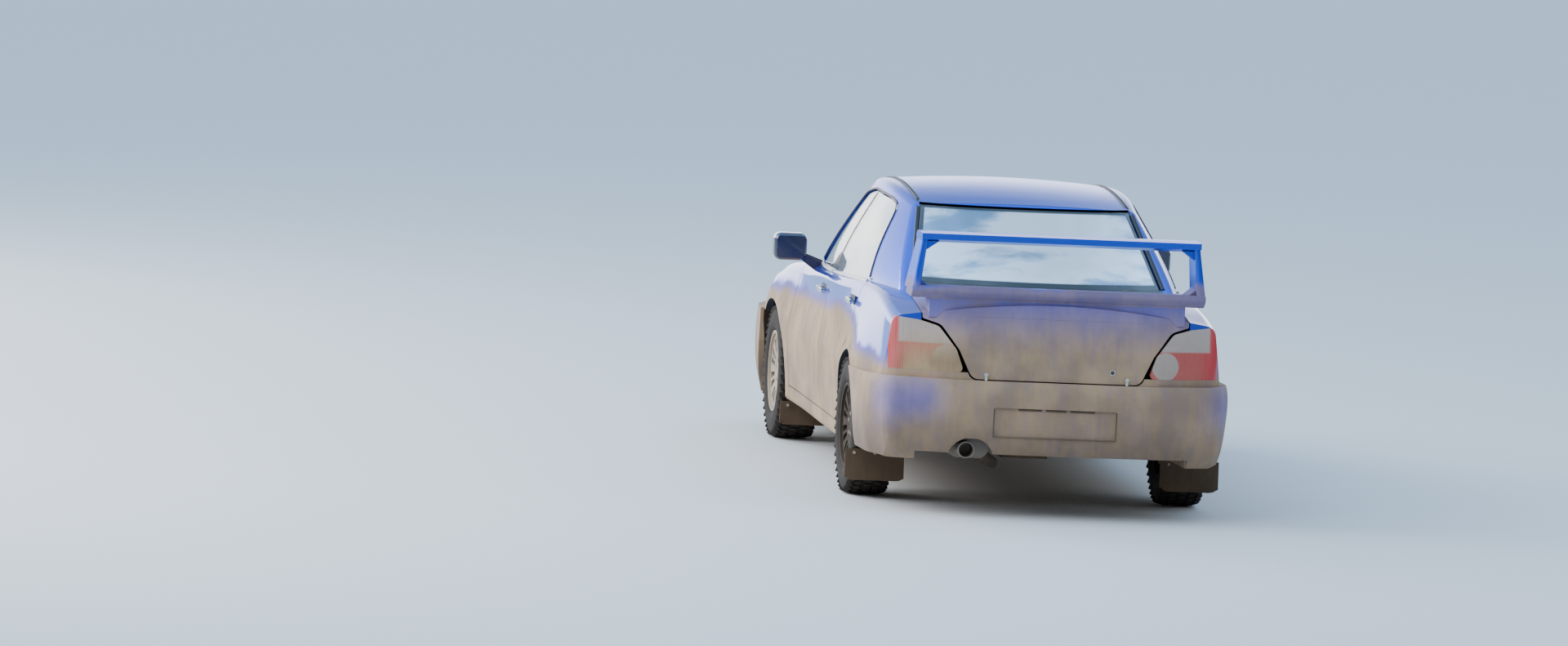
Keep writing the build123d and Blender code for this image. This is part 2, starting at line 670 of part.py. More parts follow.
def make_front_structure():
    front_void = cross_cylinder(FRONT_TUB_RADIUS, FRONT_TUB_X, 900, FRONT_AXLE, AXLE_Z)
    wall = block(-693, 693, FIREWALL_Y, A_POST_Y, 240, 848)
    wall -= [
        end_prism([(-125, 200), (-98, 355), (98, 355), (125, 200)], FIREWALL_Y - 5, A_POST_Y + 5),
        front_void,
        mirrored(front_void),
    ]
    half = COWL_HALF - SEAT_GAP
    cowl = skin() & block(-half, half, -1100, -700, 820, SCREEN_BASE_Z)
    plenum = block(-half, half, -985, -965, 840, 960) + block(-half, half, -985, A_POST_Y, 840, 858)
    cowl = cowl + (plenum & body(SKIN)) - bonnet_prism(GAP)
    cowl = max(cowl.solids(), key=lambda s: s.volume)
    apron = block(FRONT_TUB_X - 16, FRONT_TUB_X, -2040, FIREWALL_Y, 300, 760)
    apron -= cross_cylinder(60, 400, 500, FRONT_AXLE, AXLE_Z)
    shelf = [(-2040, 640), (-2040, 660), (FIREWALL_Y, 800), (FIREWALL_Y, 760)]
    shelf = side_prism(shelf, FRONT_TUB_X, 700)
    strut = (KINGPIN_X - KINGPIN_LEAN * 400, FRONT_AXLE)
    tower = Pos(*strut, 735) * Cylinder(88, 80) - Pos(*strut, 730) * Cylinder(76, 72)
    liner = tub(FRONT_TUB_RADIUS, FRONT_AXLE, FRONT_TUB_X, REBATE)
    side = (apron + shelf) & body(REBATE)
    side = side - [front_void, Pos(*strut, 700) * Cylinder(80, 160)]
    liner -= Pos(*strut, 700) * Cylinder(80, 160)
    rail = block(380, 430, -2040, FIREWALL_Y, 392, 452)
    beam = block(-600, 600, -2078, -2038, 420, 520)
    radiator = block(-400, 400, -2038, -1990, 300, 600)
    corner = side + [tower, liner, rail]
    return wall + [cowl, corner, mirrored(corner), beam, radiator]


def make_rear_structure():
    liner = tub(REAR_TUB_RADIUS, REAR_AXLE, REAR_TUB_X, INSIDE)
    inner = cross_cylinder(REAR_TUB_RADIUS + TUB_WALL, REAR_TUB_X - TUB_WALL, REAR_TUB_X, REAR_AXLE, AXLE_Z)
    inner &= block(0, 900, -2400, 2400, 330, 900)
    void = cross_cylinder(REAR_TUB_RADIUS + TUB_WALL, REAR_TUB_X, 900, REAR_AXLE, AXLE_Z)
    bulkhead = block(-900, 900, BULKHEAD_Y, BULKHEAD_Y + 20, BOOT_FLOOR_Z, 930)
    bulkhead = (bulkhead & body(INSIDE)) - [void, mirrored(void)]
    rear_half = REAR_TUB_X - TUB_WALL
    floor = block(-rear_half, rear_half, BULKHEAD_Y, 2300, BOOT_FLOOR_Z, BOOT_FLOOR_Z + 20)
    shelf = block(-600, 600, BULKHEAD_Y, LID_FRONT_Y - 12, 930, 950)
    half = BACKLIGHT_BASE_HALF - SEAT_GAP
    deck_y0, deck_y1 = DECK_Y + SEAT_GAP, LID_FRONT_Y - GAP
    deck = skin() & block(-half, half, deck_y0, deck_y1, 900, BACKLIGHT_BASE_Z - GLASS_SEAT)
    deck += block(-half, half, deck_y1 - 24, deck_y1 - 4, 940, 1030) & body(SKIN)
    deck = max(deck.solids(), key=lambda s: s.volume)
    tail = skin() & block(-1000, 1000, TAIL_PANEL_Y, 2300, BOOT_FLOOR_Z, LAMP_BASE_Z - GLASS_SEAT)
    tail -= lid_prism(GAP)
    tail = max(tail.solids(), key=lambda s: s.volume)
    corner = liner + inner
    return bulkhead + [corner, mirrored(corner), floor & body(SKIN), shelf, deck, tail]


def make_tyre(side, axle):
    r, w = TYRE_RADIUS, TYRE_WIDTH / 2
    # x, radius
    profile = [
        (80, RIM_RADIUS), (w, RIM_RADIUS + 44), (w - 5, r - 32), (w - 22, r),
        (22 - w, r), (5 - w, r - 32), (-w, RIM_RADIUS + 44), (-80, RIM_RADIUS),
    ]
    ring = revolve(Plane.XZ * make_face(Polyline(*profile, close=True)), axis=Axis.X)
    return Pos(side * WHEEL_X, axle, AXLE_Z) * ring


HUB_FACE = 46.0
SPOKES = 8


@lru_cache(None)
def left_rim():
    # x, radius
    barrel = [
        (-92, 197), (-92, 186), (-60, 176), (40, 172), (60, 178), (92, 184), (92, 197), (84.6, 197),
        (80.6, RIM_RADIUS - 0.6), (-80.6, RIM_RADIUS - 0.6), (-84.6, 197),
    ]
    ring = revolve(Plane.XZ * make_face(Polyline(*barrel, close=True)), axis=Axis.X)
    face = [
        (HUB_FACE, 32), (HUB_FACE, 75), (58, 120), (66, 184), (80, 184), (76, 118), (66, 72), (72, 40),
        (72, 1), (64, 1), (64, 32),
    ]
    disc = revolve(Plane.XZ * make_face(Polyline(*face, close=True)), axis=Axis.X)
    window = Plane.YZ * outline([(13, 102), (30, 92), (56, 150), (44, 165), (22, 168)], [0, 8, 12, 10, 8])
    window = extrude(window, amount=120)
    cuts = []
    for k in range(SPOKES):
        turn = Rot(360 / SPOKES * k, 0, 0)
        cuts += [turn * window, turn * mirror(window, about=Plane.XZ)]
    for k in range(5):
        angle = radians(90 + 72 * k)
        cuts.append(cross_cylinder(7.5, 30, 90, 50 * cos(angle), 50 * sin(angle)))
    return ring + (disc - cuts)


def make_rim(side, axle):
    rim = left_rim() if side > 0 else mirrored(left_rim())
    return Pos(side * WHEEL_X, axle, AXLE_Z) * rim


def make_brake_disc(side, axle):
    profile = [
        (HUB_FACE - 0.2, 32), (HUB_FACE - 0.2, 78), (HUB_FACE - 46, 78), (HUB_FACE - 46, DISC_RADIUS),
        (HUB_FACE - 70, DISC_RADIUS), (HUB_FACE - 70, 68), (HUB_FACE - 10, 68), (HUB_FACE - 10, 32),
    ]
    disc = revolve(Plane.XZ * make_face(Polyline(*profile, close=True)), axis=Axis.X)
    if side < 0:
        disc = mirrored(disc)
    return Pos(side * WHEEL_X, axle, AXLE_Z) * disc


def make_knuckle(axle, strut_height):
    """Left hub carrier with its spindle, caliper and strut."""
    face_x = WHEEL_X + HUB_FACE
    spindle = cross_cylinder(31.2, 640, face_x + 9, axle, AXLE_Z)
    housing = cross_cylinder(58, 625, 700, axle, AXLE_Z)
    low = (KINGPIN_X - KINGPIN_LEAN * 60, axle, AXLE_Z + 20)
    top = (KINGPIN_X - KINGPIN_LEAN * strut_height, axle, AXLE_Z + strut_height)
    strut = cylinder_between(22, low, top)
    pin_drop = 127.4
    foot = cylinder_between(
        16, (KINGPIN_X + KINGPIN_LEAN * pin_drop, axle, AXLE_Z - pin_drop), (KINGPIN_X, axle, AXLE_Z)
    )
    caliper = block(face_x - 96, face_x - 24, axle + 86, axle + 135, AXLE_Z - 70, AXLE_Z + 90)
    caliper = caliper & cross_cylinder(164, 600, 800, axle, AXLE_Z)
    caliper -= cross_cylinder(DISC_RADIUS + 6, face_x - 76, face_x - 40, axle, AXLE_Z)
    bracket = block(660, 712, axle + 30, axle + 110, AXLE_Z - 40, AXLE_Z + 20)
    return spindle + housing + strut + foot + caliper + bracket


def make_front_suspension():
    y = FRONT_AXLE
    arm = plan_prism([(300, y - 60), (300, y + 160), (672, y + 24), (672, y - 24)], 167, 192, [20] * 4)
    cross = block(-330, 330, y - 80, y + 180, 190, 240)
    tower = block(385, 425, y + 60, y + 118, 190, 392)
    return both(arm + tower) + cross


def make_rear_suspension():
    y = REAR_AXLE
    knuckle = make_knuckle(y, 360)
    links = cylinder_between(16, (250, y - 80, 262), (632, y - 50, 255))
    links += cylinder_between(16, (250, y + 100, 262), (632, y + 50, 255))
    post = block(590, 638, y - 66, y + 66, 240, 300)
    trail = cylinder_between(18, (604, y - 50, 262), (604, y - 340, 262))
    cross = block(-290, 290, y - 110, y + 130, 305, BOOT_FLOOR_Z)
    hanger = block(240, 290, y - 96, y + 116, 240, 310)
    shaft_room = block(0, 624.5, y - 22, y + 22, 252, 304.5)
    return both(knuckle + links + (post - shaft_room) + trail + (hanger - shaft_room)) + cross


def make_engine():
    return block(-280, 280, -1950, -1330, 290, 620)


def make_drivetrain():
    """Gearbox, propeller shaft, rear final drive and the four drive shafts."""
    side = [(-1330, 260), (-1330, 560), (-960, 480), (-940, 345), (-590, 345), (-590, 250)]
    gearbox = side_prism(side, -110, 110) - [
        block(-200, -85, -945, 0, 0, 900), block(85, 200, -945, 0, 0, 900),
    ]
    shaft = Pos(0, 240, 285) * (Rot(90, 0, 0) * Cylinder(30, 1680))
    final = block(-110, 110, REAR_AXLE - 152, REAR_AXLE + 110, 205, 304)
    front_shaft = cross_cylinder(13, 109, 585, FRONT_AXLE, AXLE_Z)
    rear_shaft = cylinder_between(13, (105, REAR_AXLE, 275), (624, REAR_AXLE, 300))
    return gearbox + shaft + final + both(front_shaft + rear_shaft)


def make_exhaust():
    pipe = tube_along(
        [(150, -900, 180), (150, 1400, 180), (384, 1600, 318), (384, 1810, 318)], 26, [150, 80],
    )
    muffler = block(289, 479, 1800, 2090, 272, 372)
    muffler = fillet([e for e in muffler.edges() if abs(e.center().Y - 1945) < 1], 46)
    tip = Pos(408, 2138, 317) * (Rot(90, 0, 0) * (Cylinder(38, 104) - Cylinder(34, 105)))
    hanger = block(372, 396, 1850, 1870, 365, BOOT_FLOOR_Z)
    return pipe + muffler + tip + hanger


def make_mudflaps():
    rear = block(600, 885, REAR_AXLE + 352, REAR_AXLE + 358, 97, 245)
    front = block(600, 855, FRONT_AXLE + 405, FRONT_AXLE + 411, 100, FLOOR_Z - SEAT_GAP)
    return both(rear + front)


def make_seat(x):
    base = block(x - 190, x + 190, -330, 180, 280, 420)
    back = side_prism([(90, 300), (250, 300), (400, 1050), (300, 1060), (210, 700)], x - 190, x + 190)
    rail = block(x - 170, x + 170, -300, 150, FLOOR_Z + FLOOR_THICK, 280)
    return base + back - block(x - 150, x + 150, -400, 120, 370, 500) + rail


def make_roll_cage():
    r = 20
    foot_z = FLOOR_Z + FLOOR_THICK
    hoop = tube_along(
        [(640, 330, foot_z), (640, 330, 900), (505, 330, 1310), (-505, 330, 1310), (-640, 330, 900),
         (-640, 330, foot_z)],
        r, [200, 90, 90, 200],
    )
    side = tube_along([(590, -700, foot_z), (590, -700, 850), (500, -250, 1280), (500, 330, 1310)], r, [120, 150])
    stay = cylinder_between(r, (500, 345, 1300), (500, 1153, 720))
    door_bar = cylinder_between(r - 2, (590, -700, 600), (640, 330, 350))
    return hoop + both(side + stay + door_bar)


@lru_cache(None)
def make_dashboard():
    profile = [(A_POST_Y, 700), (A_POST_Y, 830), (-780, 850), (-560, 830), (-500, 770), (-540, 640), (-760, 620)]
    return side_prism(profile, -560, 560, [0, 20, 60, 40, 40, 40, 30])


def make_steering_wheel():
    # radius, height
    section = [(161, -6), (161, 6), (170, 13), (181, 13), (189, 6), (189, -6), (181, -13), (170, -13)]
    ring = revolve(Plane.XZ * make_face(Polyline(*section, close=True)), axis=Axis.Z)
    spokes = Box(330, 26, 10) + Pos(0, -80, 0) * Box(26, 150, 10)
    wheel = ring + spokes + Cylinder(36, 24) + Pos(0, 0, -80) * Cylinder(20, 160)
    return Pos(-370, -380, 800) * (Rot(-65, 0, 0) * wheel) - make_dashboard()


def save(name, shape):
    shape = Compound(children=list(shape.solids())) if len(shape.solids()) > 1 else shape.solids()[0]
    shape.label = name
    export_step(shape, f"parts/{name}.step")


SIDES = (("left", 1), ("right", -1))


def save_pair(name, shape):
    save(f"{name}_left", shape)
    save(f"{name}_right", mirrored(shape))


save("bonnet", make_bonnet())
save("boot_lid", make_boot_lid())
save("roof_panel", make_roof())
save("windscreen", make_windscreen())
save("rear_glass", make_backlight())
save_pair("fender", make_fender())
save_pair("body_side", make_body_side())
save_pair("door_front", make_door_front())
save_pair("door_rear", make_door_rear())
save_pair("glass_front", side_glass(None, DOOR_SPLIT_Y - B_PILLAR_HALF))
save_pair("glass_rear", side_glass(DOOR_SPLIT_Y + B_PILLAR_HALF, None))
save_pair("mirror", make_mirror())
save("front_bumper", make_front_bumper())
save("rear_bumper", make_rear_bumper())
save("grille", make_grille())
save("headlamps", make_headlamps())
save("tail_lamps", make_tail_lamps())
save("rear_wing", make_rear_wing())
save("floor_pan", make_floor_pan())
save("front_structure", make_front_structure())
save("rear_structure", make_rear_structure())
for end, axle in (("front", FRONT_AXLE), ("rear", REAR_AXLE)):
    for name, side in SIDES:
        save(f"tyre_{end}_{name}", make_tyre(side, axle))
        save(f"rim_{end}_{name}", make_rim(side, axle))
        save(f"brake_disc_{end}_{name}", make_brake_disc(side, axle))
save_pair("front_knuckle", make_knuckle(FRONT_AXLE, 430))
save("front_suspension", make_front_suspension())
save("rear_suspension", make_rear_suspension())
save("engine_block", make_engine())
save("drivetrain", make_drivetrain())
save("exhaust", make_exhaust())
save("mudflaps", make_mudflaps())
save("seats", make_seat(-370) + make_seat(370))
save("roll_cage", make_roll_cage())
save("dashboard", make_dashboard())
save("steering_wheel", make_steering_wheel())
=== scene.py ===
# %% [markdown]
# # A muddy rally saloon
# The solid model of the car arrives as a fixed frame. This lesson dresses it: paint with
# a film of road mud, glass, lamps, rubber, wheels and the small trim that a real car has.

# %% Load the frame
import bpy
import bmesh
from math import cos, pi, radians, sin
from mathutils import Matrix, Vector


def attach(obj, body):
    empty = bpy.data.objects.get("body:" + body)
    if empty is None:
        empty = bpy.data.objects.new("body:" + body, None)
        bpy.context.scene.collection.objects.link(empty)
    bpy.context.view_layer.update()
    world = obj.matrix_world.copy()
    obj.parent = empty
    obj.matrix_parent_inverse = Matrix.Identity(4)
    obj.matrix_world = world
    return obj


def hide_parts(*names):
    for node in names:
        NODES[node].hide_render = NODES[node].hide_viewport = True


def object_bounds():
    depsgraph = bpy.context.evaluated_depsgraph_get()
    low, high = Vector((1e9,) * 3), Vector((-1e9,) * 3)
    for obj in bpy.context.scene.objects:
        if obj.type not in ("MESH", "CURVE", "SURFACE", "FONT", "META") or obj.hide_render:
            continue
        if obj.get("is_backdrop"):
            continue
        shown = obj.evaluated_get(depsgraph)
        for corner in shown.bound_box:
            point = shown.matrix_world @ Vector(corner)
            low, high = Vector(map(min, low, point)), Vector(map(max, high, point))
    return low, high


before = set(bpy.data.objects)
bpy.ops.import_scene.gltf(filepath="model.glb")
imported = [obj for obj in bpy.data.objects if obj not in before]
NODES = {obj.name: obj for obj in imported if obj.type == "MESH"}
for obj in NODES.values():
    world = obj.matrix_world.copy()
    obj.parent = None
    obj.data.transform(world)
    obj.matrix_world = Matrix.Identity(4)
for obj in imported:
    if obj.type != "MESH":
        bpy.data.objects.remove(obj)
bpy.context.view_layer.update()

# %% [markdown]
# The photograph was taken from far away with a long lens, from behind the car and a
# little above it. The camera is built from the angles that a match of lamps, wing and
# lid gave: azimuth, elevation and roll, then a small pan and tilt for the framing.

# %% Camera
CAMERA_AZIMUTH = radians(171.0073)
CAMERA_ELEVATION = radians(5.2453)
CAMERA_ROLL = radians(3.0658)
CAMERA_PAN = radians(-0.9788)
CAMERA_TILT = radians(-0.1854)
CAMERA_DISTANCE = 64.445
CAMERA_TARGET = Vector((0, 1.0, 0.6))
FOCAL_LENGTH = 313.8

back = Vector((
    sin(CAMERA_AZIMUTH) * cos(CAMERA_ELEVATION),
    -cos(CAMERA_AZIMUTH) * cos(CAMERA_ELEVATION),
    sin(CAMERA_ELEVATION),
))
right = Vector((0, 0, 1)).cross(back).normalized()
level = Matrix((right, back.cross(right), back))
roll = Matrix.Rotation(-CAMERA_ROLL, 3, "Z")
pan = Matrix.Rotation(CAMERA_PAN, 3, "Y")
tilt = Matrix.Rotation(CAMERA_TILT, 3, "X")
turn = (tilt @ pan @ roll @ level).transposed()
lens = bpy.data.cameras.new("long_lens")
lens.sensor_width = 36
lens.lens = FOCAL_LENGTH
lens.clip_start, lens.clip_end = 1, 500
camera = bpy.data.objects.new("camera", lens)
camera.matrix_world = Matrix.Translation(CAMERA_TARGET + back * CAMERA_DISTANCE) @ turn.to_4x4()
bpy.context.scene.collection.objects.link(camera)
bpy.context.scene.camera = camera
print("camera at", [round(v, 2) for v in camera.matrix_world.translation])

# %% [markdown]
# The sky and every finish are trees of shader nodes. Each helper below adds one node and
# hands back its output, so that the recipes further down read like formulas.


# %% Node helpers
def link_value(tree, socket, value):
    """Feeds a socket from another socket, or sets its plain value."""
    if isinstance(value, bpy.types.NodeSocket):
        tree.links.new(value, socket)
    else:
        socket.default_value = value


def math_node(tree, operation, a, b=0.5, clamp=False):
    node = tree.nodes.new("ShaderNodeMath")
    node.operation = operation
    node.use_clamp = clamp
    link_value(tree, node.inputs[0], a)
    link_value(tree, node.inputs[1], b)
    return node.outputs[0]


def distance_node(tree, vector, point):
    node = tree.nodes.new("ShaderNodeVectorMath")
    node.operation = "DISTANCE"
    tree.links.new(vector, node.inputs[0])
    node.inputs[1].default_value = point
    return node.outputs["Value"]


def noise_node(tree, vector, scale, detail=3.0, roughness=0.55):
    node = tree.nodes.new("ShaderNodeTexNoise")
    link_value(tree, node.inputs["Vector"], vector)
    link_value(tree, node.inputs["Scale"], scale)
    node.inputs["Detail"].default_value = detail
    node.inputs["Roughness"].default_value = roughness
    return node.outputs["Fac"]


def range_node(tree, value, low, high, to_low=0.0, to_high=1.0, smooth=True):
    node = tree.nodes.new("ShaderNodeMapRange")
    node.interpolation_type = "SMOOTHSTEP" if smooth else "LINEAR"
    link_value(tree, node.inputs["Value"], value)
    ends = (("From Min", low), ("From Max", high), ("To Min", to_low), ("To Max", to_high))
    for label, end in ends:
        link_value(tree, node.inputs[label], end)
    return node.outputs["Result"]


def mix_colour(tree, factor, a, b):
    node = tree.nodes.new("ShaderNodeMix")
    node.data_type = "RGBA"
    link_value(tree, node.inputs[0], factor)
    link_value(tree, node.inputs[6], a if isinstance(a, bpy.types.NodeSocket) else (*a, 1))
    link_value(tree, node.inputs[7], b if isinstance(b, bpy.types.NodeSocket) else (*b, 1))
    return node.outputs[2]


def object_coordinates(tree):
    return tree.nodes.new("ShaderNodeTexCoord").outputs["Object"]


def split_axes(tree, vector=None):
    """Outputs X, Y and Z of a vector, or of the place on the object."""
    node = tree.nodes.new("ShaderNodeSeparateXYZ")
    tree.links.new(object_coordinates(tree) if vector is None else vector, node.inputs[0])
    return node.outputs


def stretched(tree, vector, scale):
    node = tree.nodes.new("ShaderNodeMapping")
    link_value(tree, node.inputs["Vector"], vector)
    node.inputs["Scale"].default_value = scale
    return node.outputs["Vector"]


def add_relief(tree, height, strength, distance=0.002):
    """Bump from a height, on the material's shader."""
    node = tree.nodes.new("ShaderNodeBump")
    node.inputs["Strength"].default_value = strength
    node.inputs["Distance"].default_value = distance
    tree.links.new(height, node.inputs["Height"])
    tree.links.new(node.outputs["Normal"], tree.nodes["Principled BSDF"].inputs["Normal"])


print("node helpers ready")

# %% [markdown]
# A plain pale floor and soft light, as in a photo studio. Two of the lamps are kept out of
# reflections, because clean paint would mirror them as white disks.


# %% Floor and lights
def plain_material(name, colour, roughness=0.5, metallic=0.0):
    """Material with a Principled shader whose plain values are set on its own sockets."""
    material = bpy.data.materials.new(name)
    material.use_nodes = True
    shader = material.node_tree.nodes["Principled BSDF"]
    shader.inputs["Base Color"].default_value = (*colour, 1)
    shader.inputs["Roughness"].default_value = roughness
    shader.inputs["Metallic"].default_value = metallic
    return material


floor_bm = bmesh.new()
bmesh.ops.create_grid(floor_bm, x_segments=2, y_segments=2, size=60)
floor_mesh = bpy.data.meshes.new("floor")
floor_bm.to_mesh(floor_mesh)
floor_bm.free()
floor = bpy.data.objects.new("floor", floor_mesh)
bpy.context.scene.collection.objects.link(floor)
floor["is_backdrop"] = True
floor.data.materials.append(plain_material("floor_pale", (0.62, 0.61, 0.59), 0.9))


def soft_light(name, place, target, size, power, mirrored=True):
    light = bpy.data.lights.new(name, "AREA")
    light.shape = "DISK"
    light.size = size
    light.energy = power
    lamp = bpy.data.objects.new(name, light)
    lamp.location = place
    lamp.rotation_mode = "QUATERNION"
    lamp.rotation_quaternion = (Vector(target) - Vector(place)).to_track_quat("-Z", "Y")
    lamp.visible_glossy = mirrored
    bpy.context.scene.collection.objects.link(lamp)


soft_light("key", (6, 9, 9), (0, 1, 0.6), 6, 400, mirrored=False)
soft_light("side", (10, 1, 6), (0.8, 0, 0.9), 7, 1150)
soft_light("fill", (-9, 5, 5), (0, 1, 0.6), 7, 240, mirrored=False)
soft_light("front", (9, -8, 5), (0, -1, 0.6), 6, 900)
print("floor and four soft lights")

# %% [markdown]
# Clean paint and glass mirror a sky as they do outdoors. The world has a dim horizon and
# patchy clouds above it. It is brighter on the car's left and overhead, darker behind the
# tail, and a white band lies low down ahead of the car.

# %% World
SKY_LOW = (0.97, 0.98, 1.0)
SKY_HIGH = (0.40, 0.66, 1.0)
# Both factors of the white band rise to this, so the band is brightest at its square.
BAND_FACTOR = 1.9

world = bpy.data.worlds.new("studio")
bpy.context.scene.world = world
world.use_nodes = True
tree = world.node_tree
direction = tree.nodes.new("ShaderNodeTexCoord").outputs["Generated"]
toward = split_axes(tree, direction)
cloud = noise_node(tree, direction, 3.2, 5, 0.5)
strength = range_node(tree, toward["Z"], 0.03, 0.36, 0.15, 1.15)
for source, *ends in (
    (cloud, 0.40, 0.62, 0.55, 1.35),
    (toward["X"], 0.1, 0.95, 1.0, 2.6),
    (toward["Y"], 0.1, 0.8, 1.0, 0.4),
    (toward["Z"], 0.60, 0.88, 1.0, 2.1),
):
    strength = math_node(tree, "MULTIPLY", strength, range_node(tree, source, *ends))
ahead = range_node(tree, toward["Y"], -0.55, -0.95, 0.0, BAND_FACTOR)
low_down = range_node(tree, toward["Z"], 0.30, 0.10, 0.0, BAND_FACTOR)
strength = math_node(tree, "ADD", strength, math_node(tree, "MULTIPLY", ahead, low_down))
tint = mix_colour(tree, range_node(tree, toward["Z"], 0.15, 0.50), SKY_LOW, SKY_HIGH)
tree.links.new(strength, tree.nodes["Background"].inputs["Strength"])
tree.links.new(tint, tree.nodes["Background"].inputs["Color"])
print("sky with", len(tree.nodes), "nodes")

# %% [markdown]
# Dried mud is the main finish of this car. It is thick low down, thins out upwards with a
# ragged edge, and runs in faint streaks. One node group makes its mask, its colour and
# its thickness, so every material can carry it with its own height and amount.

# %% Mud film as a node group
MUD_LIGHT = (0.43, 0.285, 0.145)
MUD_DARK = (0.26, 0.175, 0.095)
MUD_ROUGHNESS = 0.86
COAT_ROUGHNESS = 0.06


def new_group(name, inputs, outputs):
    """Shader node group with float inputs and the named outputs."""
    group = bpy.data.node_groups.new(name, "ShaderNodeTree")
    for label, value in inputs:
        socket = group.interface.new_socket(label, in_out="INPUT", socket_type="NodeSocketFloat")
        socket.default_value = value
    for label, kind in outputs:
        group.interface.new_socket(label, in_out="OUTPUT", socket_type=kind)
    entry = group.nodes.new("NodeGroupInput")
    leave = group.nodes.new("NodeGroupOutput")
    return group, entry.outputs, leave.inputs


mud, mud_in, mud_out = new_group(
    "mud_film",
    [("Top", 0.9), ("Depth", 0.3), ("Amount", 1.0), ("Ragged", 0.1)],
    [("Mask", "NodeSocketFloat"), ("Colour", "NodeSocketColor"), ("Height", "NodeSocketFloat")],
)
place = object_coordinates(mud)
clouds = noise_node(mud, place, 4.5, 4)
streaks = noise_node(mud, stretched(mud, place, (26, 26, 3.5)), 1.0, 3)
grains = noise_node(mud, place, 160, 3, 0.7)
wander = math_node(mud, "MULTIPLY", math_node(mud, "SUBTRACT", clouds, 0.5), mud_in["Ragged"])
wander = math_node(mud, "MULTIPLY", wander, 4.0)
height = math_node(mud, "ADD", split_axes(mud, place)["Z"], wander)
low_edge = math_node(mud, "SUBTRACT", mud_in["Top"], mud_in["Depth"])
film = range_node(mud, height, mud_in["Top"], low_edge)
uneven = math_node(mud, "ADD", streaks, math_node(mud, "MULTIPLY", grains, 0.35))
film = math_node(mud, "MULTIPLY", film, range_node(mud, uneven, 0.35, 0.85, 0.9, 1.0))
film = math_node(mud, "MULTIPLY", film, mud_in["Amount"], clamp=True)
tone = math_node(mud, "MULTIPLY", clouds, 0.85)
tone = math_node(mud, "ADD", tone, math_node(mud, "MULTIPLY", streaks, 0.2))
mud.links.new(film, mud_out["Mask"])
mud.links.new(mix_colour(mud, range_node(mud, tone, 0.35, 0.75), MUD_DARK, MUD_LIGHT), mud_out["Colour"])
mud.links.new(math_node(mud, "MULTIPLY", film, grains), mud_out["Height"])


def add_mud(tree, top, depth, amount, ragged):
    """Places the mud group in a material with its own height, depth and amount."""
    node = tree.nodes.new("ShaderNodeGroup")
    node.node_tree = mud
    for label, value in (("Top", top), ("Depth", depth), ("Amount", amount), ("Ragged", ragged)):
        node.inputs[label].default_value = value
    return node


print("mud film group with", len(mud.nodes), "nodes")

# %% [markdown]
# Each finish below is a Principled shader. Its colour, roughness, metal and clear coat
# are mixed with the mud's by the mask, so that the film looks dull on top of gloss.


# %% Materials with mud
def muddy_material(
    name, colour, roughness, metallic=0.0, coat=0.0, top=0.9, depth=0.3, amount=1.0, ragged=0.1,
    bump=0.3, clean=(),
):
    """Finish that wears the mud film. clean lists soft spots as (x, y, z, radius) with less mud."""
    material = plain_material(name, colour, roughness, metallic)
    tree = material.node_tree
    shader = tree.nodes["Principled BSDF"]
    film = add_mud(tree, top, depth, amount, ragged)
    mask = film.outputs["Mask"]
    for *spot, radius in clean:
        away = distance_node(tree, object_coordinates(tree), spot)
        mask = math_node(tree, "MULTIPLY", mask, range_node(tree, away, 0.0, radius, 0.6, 1.0))
    tree.links.new(mix_colour(tree, mask, colour, film.outputs["Colour"]), shader.inputs["Base Color"])
    dull = range_node(tree, mask, 0.0, 0.6, roughness, MUD_ROUGHNESS)
    link_value(tree, shader.inputs["Roughness"], dull)
    if metallic:
        link_value(tree, shader.inputs["Metallic"], range_node(tree, mask, 0.0, 0.5, metallic, 0.0))
    if coat:
        link_value(tree, shader.inputs["Coat Weight"], range_node(tree, mask, 0.0, 0.4, coat, 0.0))
        shader.inputs["Coat Roughness"].default_value = COAT_ROUGHNESS
    add_relief(tree, film.outputs["Height"], bump)
    return material


def mud_inputs(material):
    """Inputs of the mud group in a material."""
    return next(node.inputs for node in material.node_tree.nodes if node.type == "GROUP")


def add_painted_shade(material, shaded):
    """Mixes painted shade, a dark tone, into the finish where shaded is one."""
    tree = material.node_tree
    socket = tree.nodes["Principled BSDF"].inputs["Base Color"]
    tree.links.new(mix_colour(tree, shaded, socket.links[0].from_socket, PAINTED_SHADE_DARK), socket)


BLUE = (0.016, 0.055, 0.50)
BLUE_SHEEN = (0.50, 0.68, 1.0, 1)
# Colour of the painted shade in the arches, low on the bumpers and inside the tail.
PAINTED_SHADE_DARK = (0.022, 0.019, 0.017)
BUMPER_SPOTS = ((0.76, 2.10, 0.54, 0.20), (0.62, 2.17, 0.555, 0.17), (-0.80, 2.04, 0.54, 0.20))

# The roof is a lighter blue than the flanks: painted light, the top lit by the sky.
paint_roof = muddy_material(
    "paint_roof", (0.03, 0.10, 0.70), 0.24, 0.75, 0.35, top=1.6, depth=0.6, amount=0.05,
)
paint_side = muddy_material("paint_side", BLUE, 0.28, 0.45, 1.0, top=0.90, depth=0.11, ragged=0.03)
paint_lid = muddy_material(
    "paint_lid", BLUE, 0.30, 0.4, 0.8, top=1.24, depth=0.50, amount=0.97, ragged=0.03,
)
# The wing is a lighter blue than the flanks: painted light on its upper faces.
paint_wing = muddy_material(
    "paint_wing", (0.02, 0.08, 0.60), 0.30, 0.6, 0.2, top=1.13, depth=0.10, amount=0.72,
)
paint_mirror = muddy_material(
    "paint_mirror", (0.008, 0.014, 0.05), 0.22, 0.2, 1.0, top=0.99, depth=0.1, amount=0.12,
)
paint_front = muddy_material("paint_front", BLUE, 0.28, 0.45, 1.0, top=0.80, depth=0.3, amount=0.9)
paint_bumper = muddy_material(
    "paint_bumper", BLUE, 0.34, 0.3, 0.6, top=0.90, depth=0.2, amount=0.97, clean=BUMPER_SPOTS,
)
tail_shell = muddy_material("tail_shell", BLUE, 0.34, 0.3, 0.6, top=0.90, depth=0.2, amount=0.97)
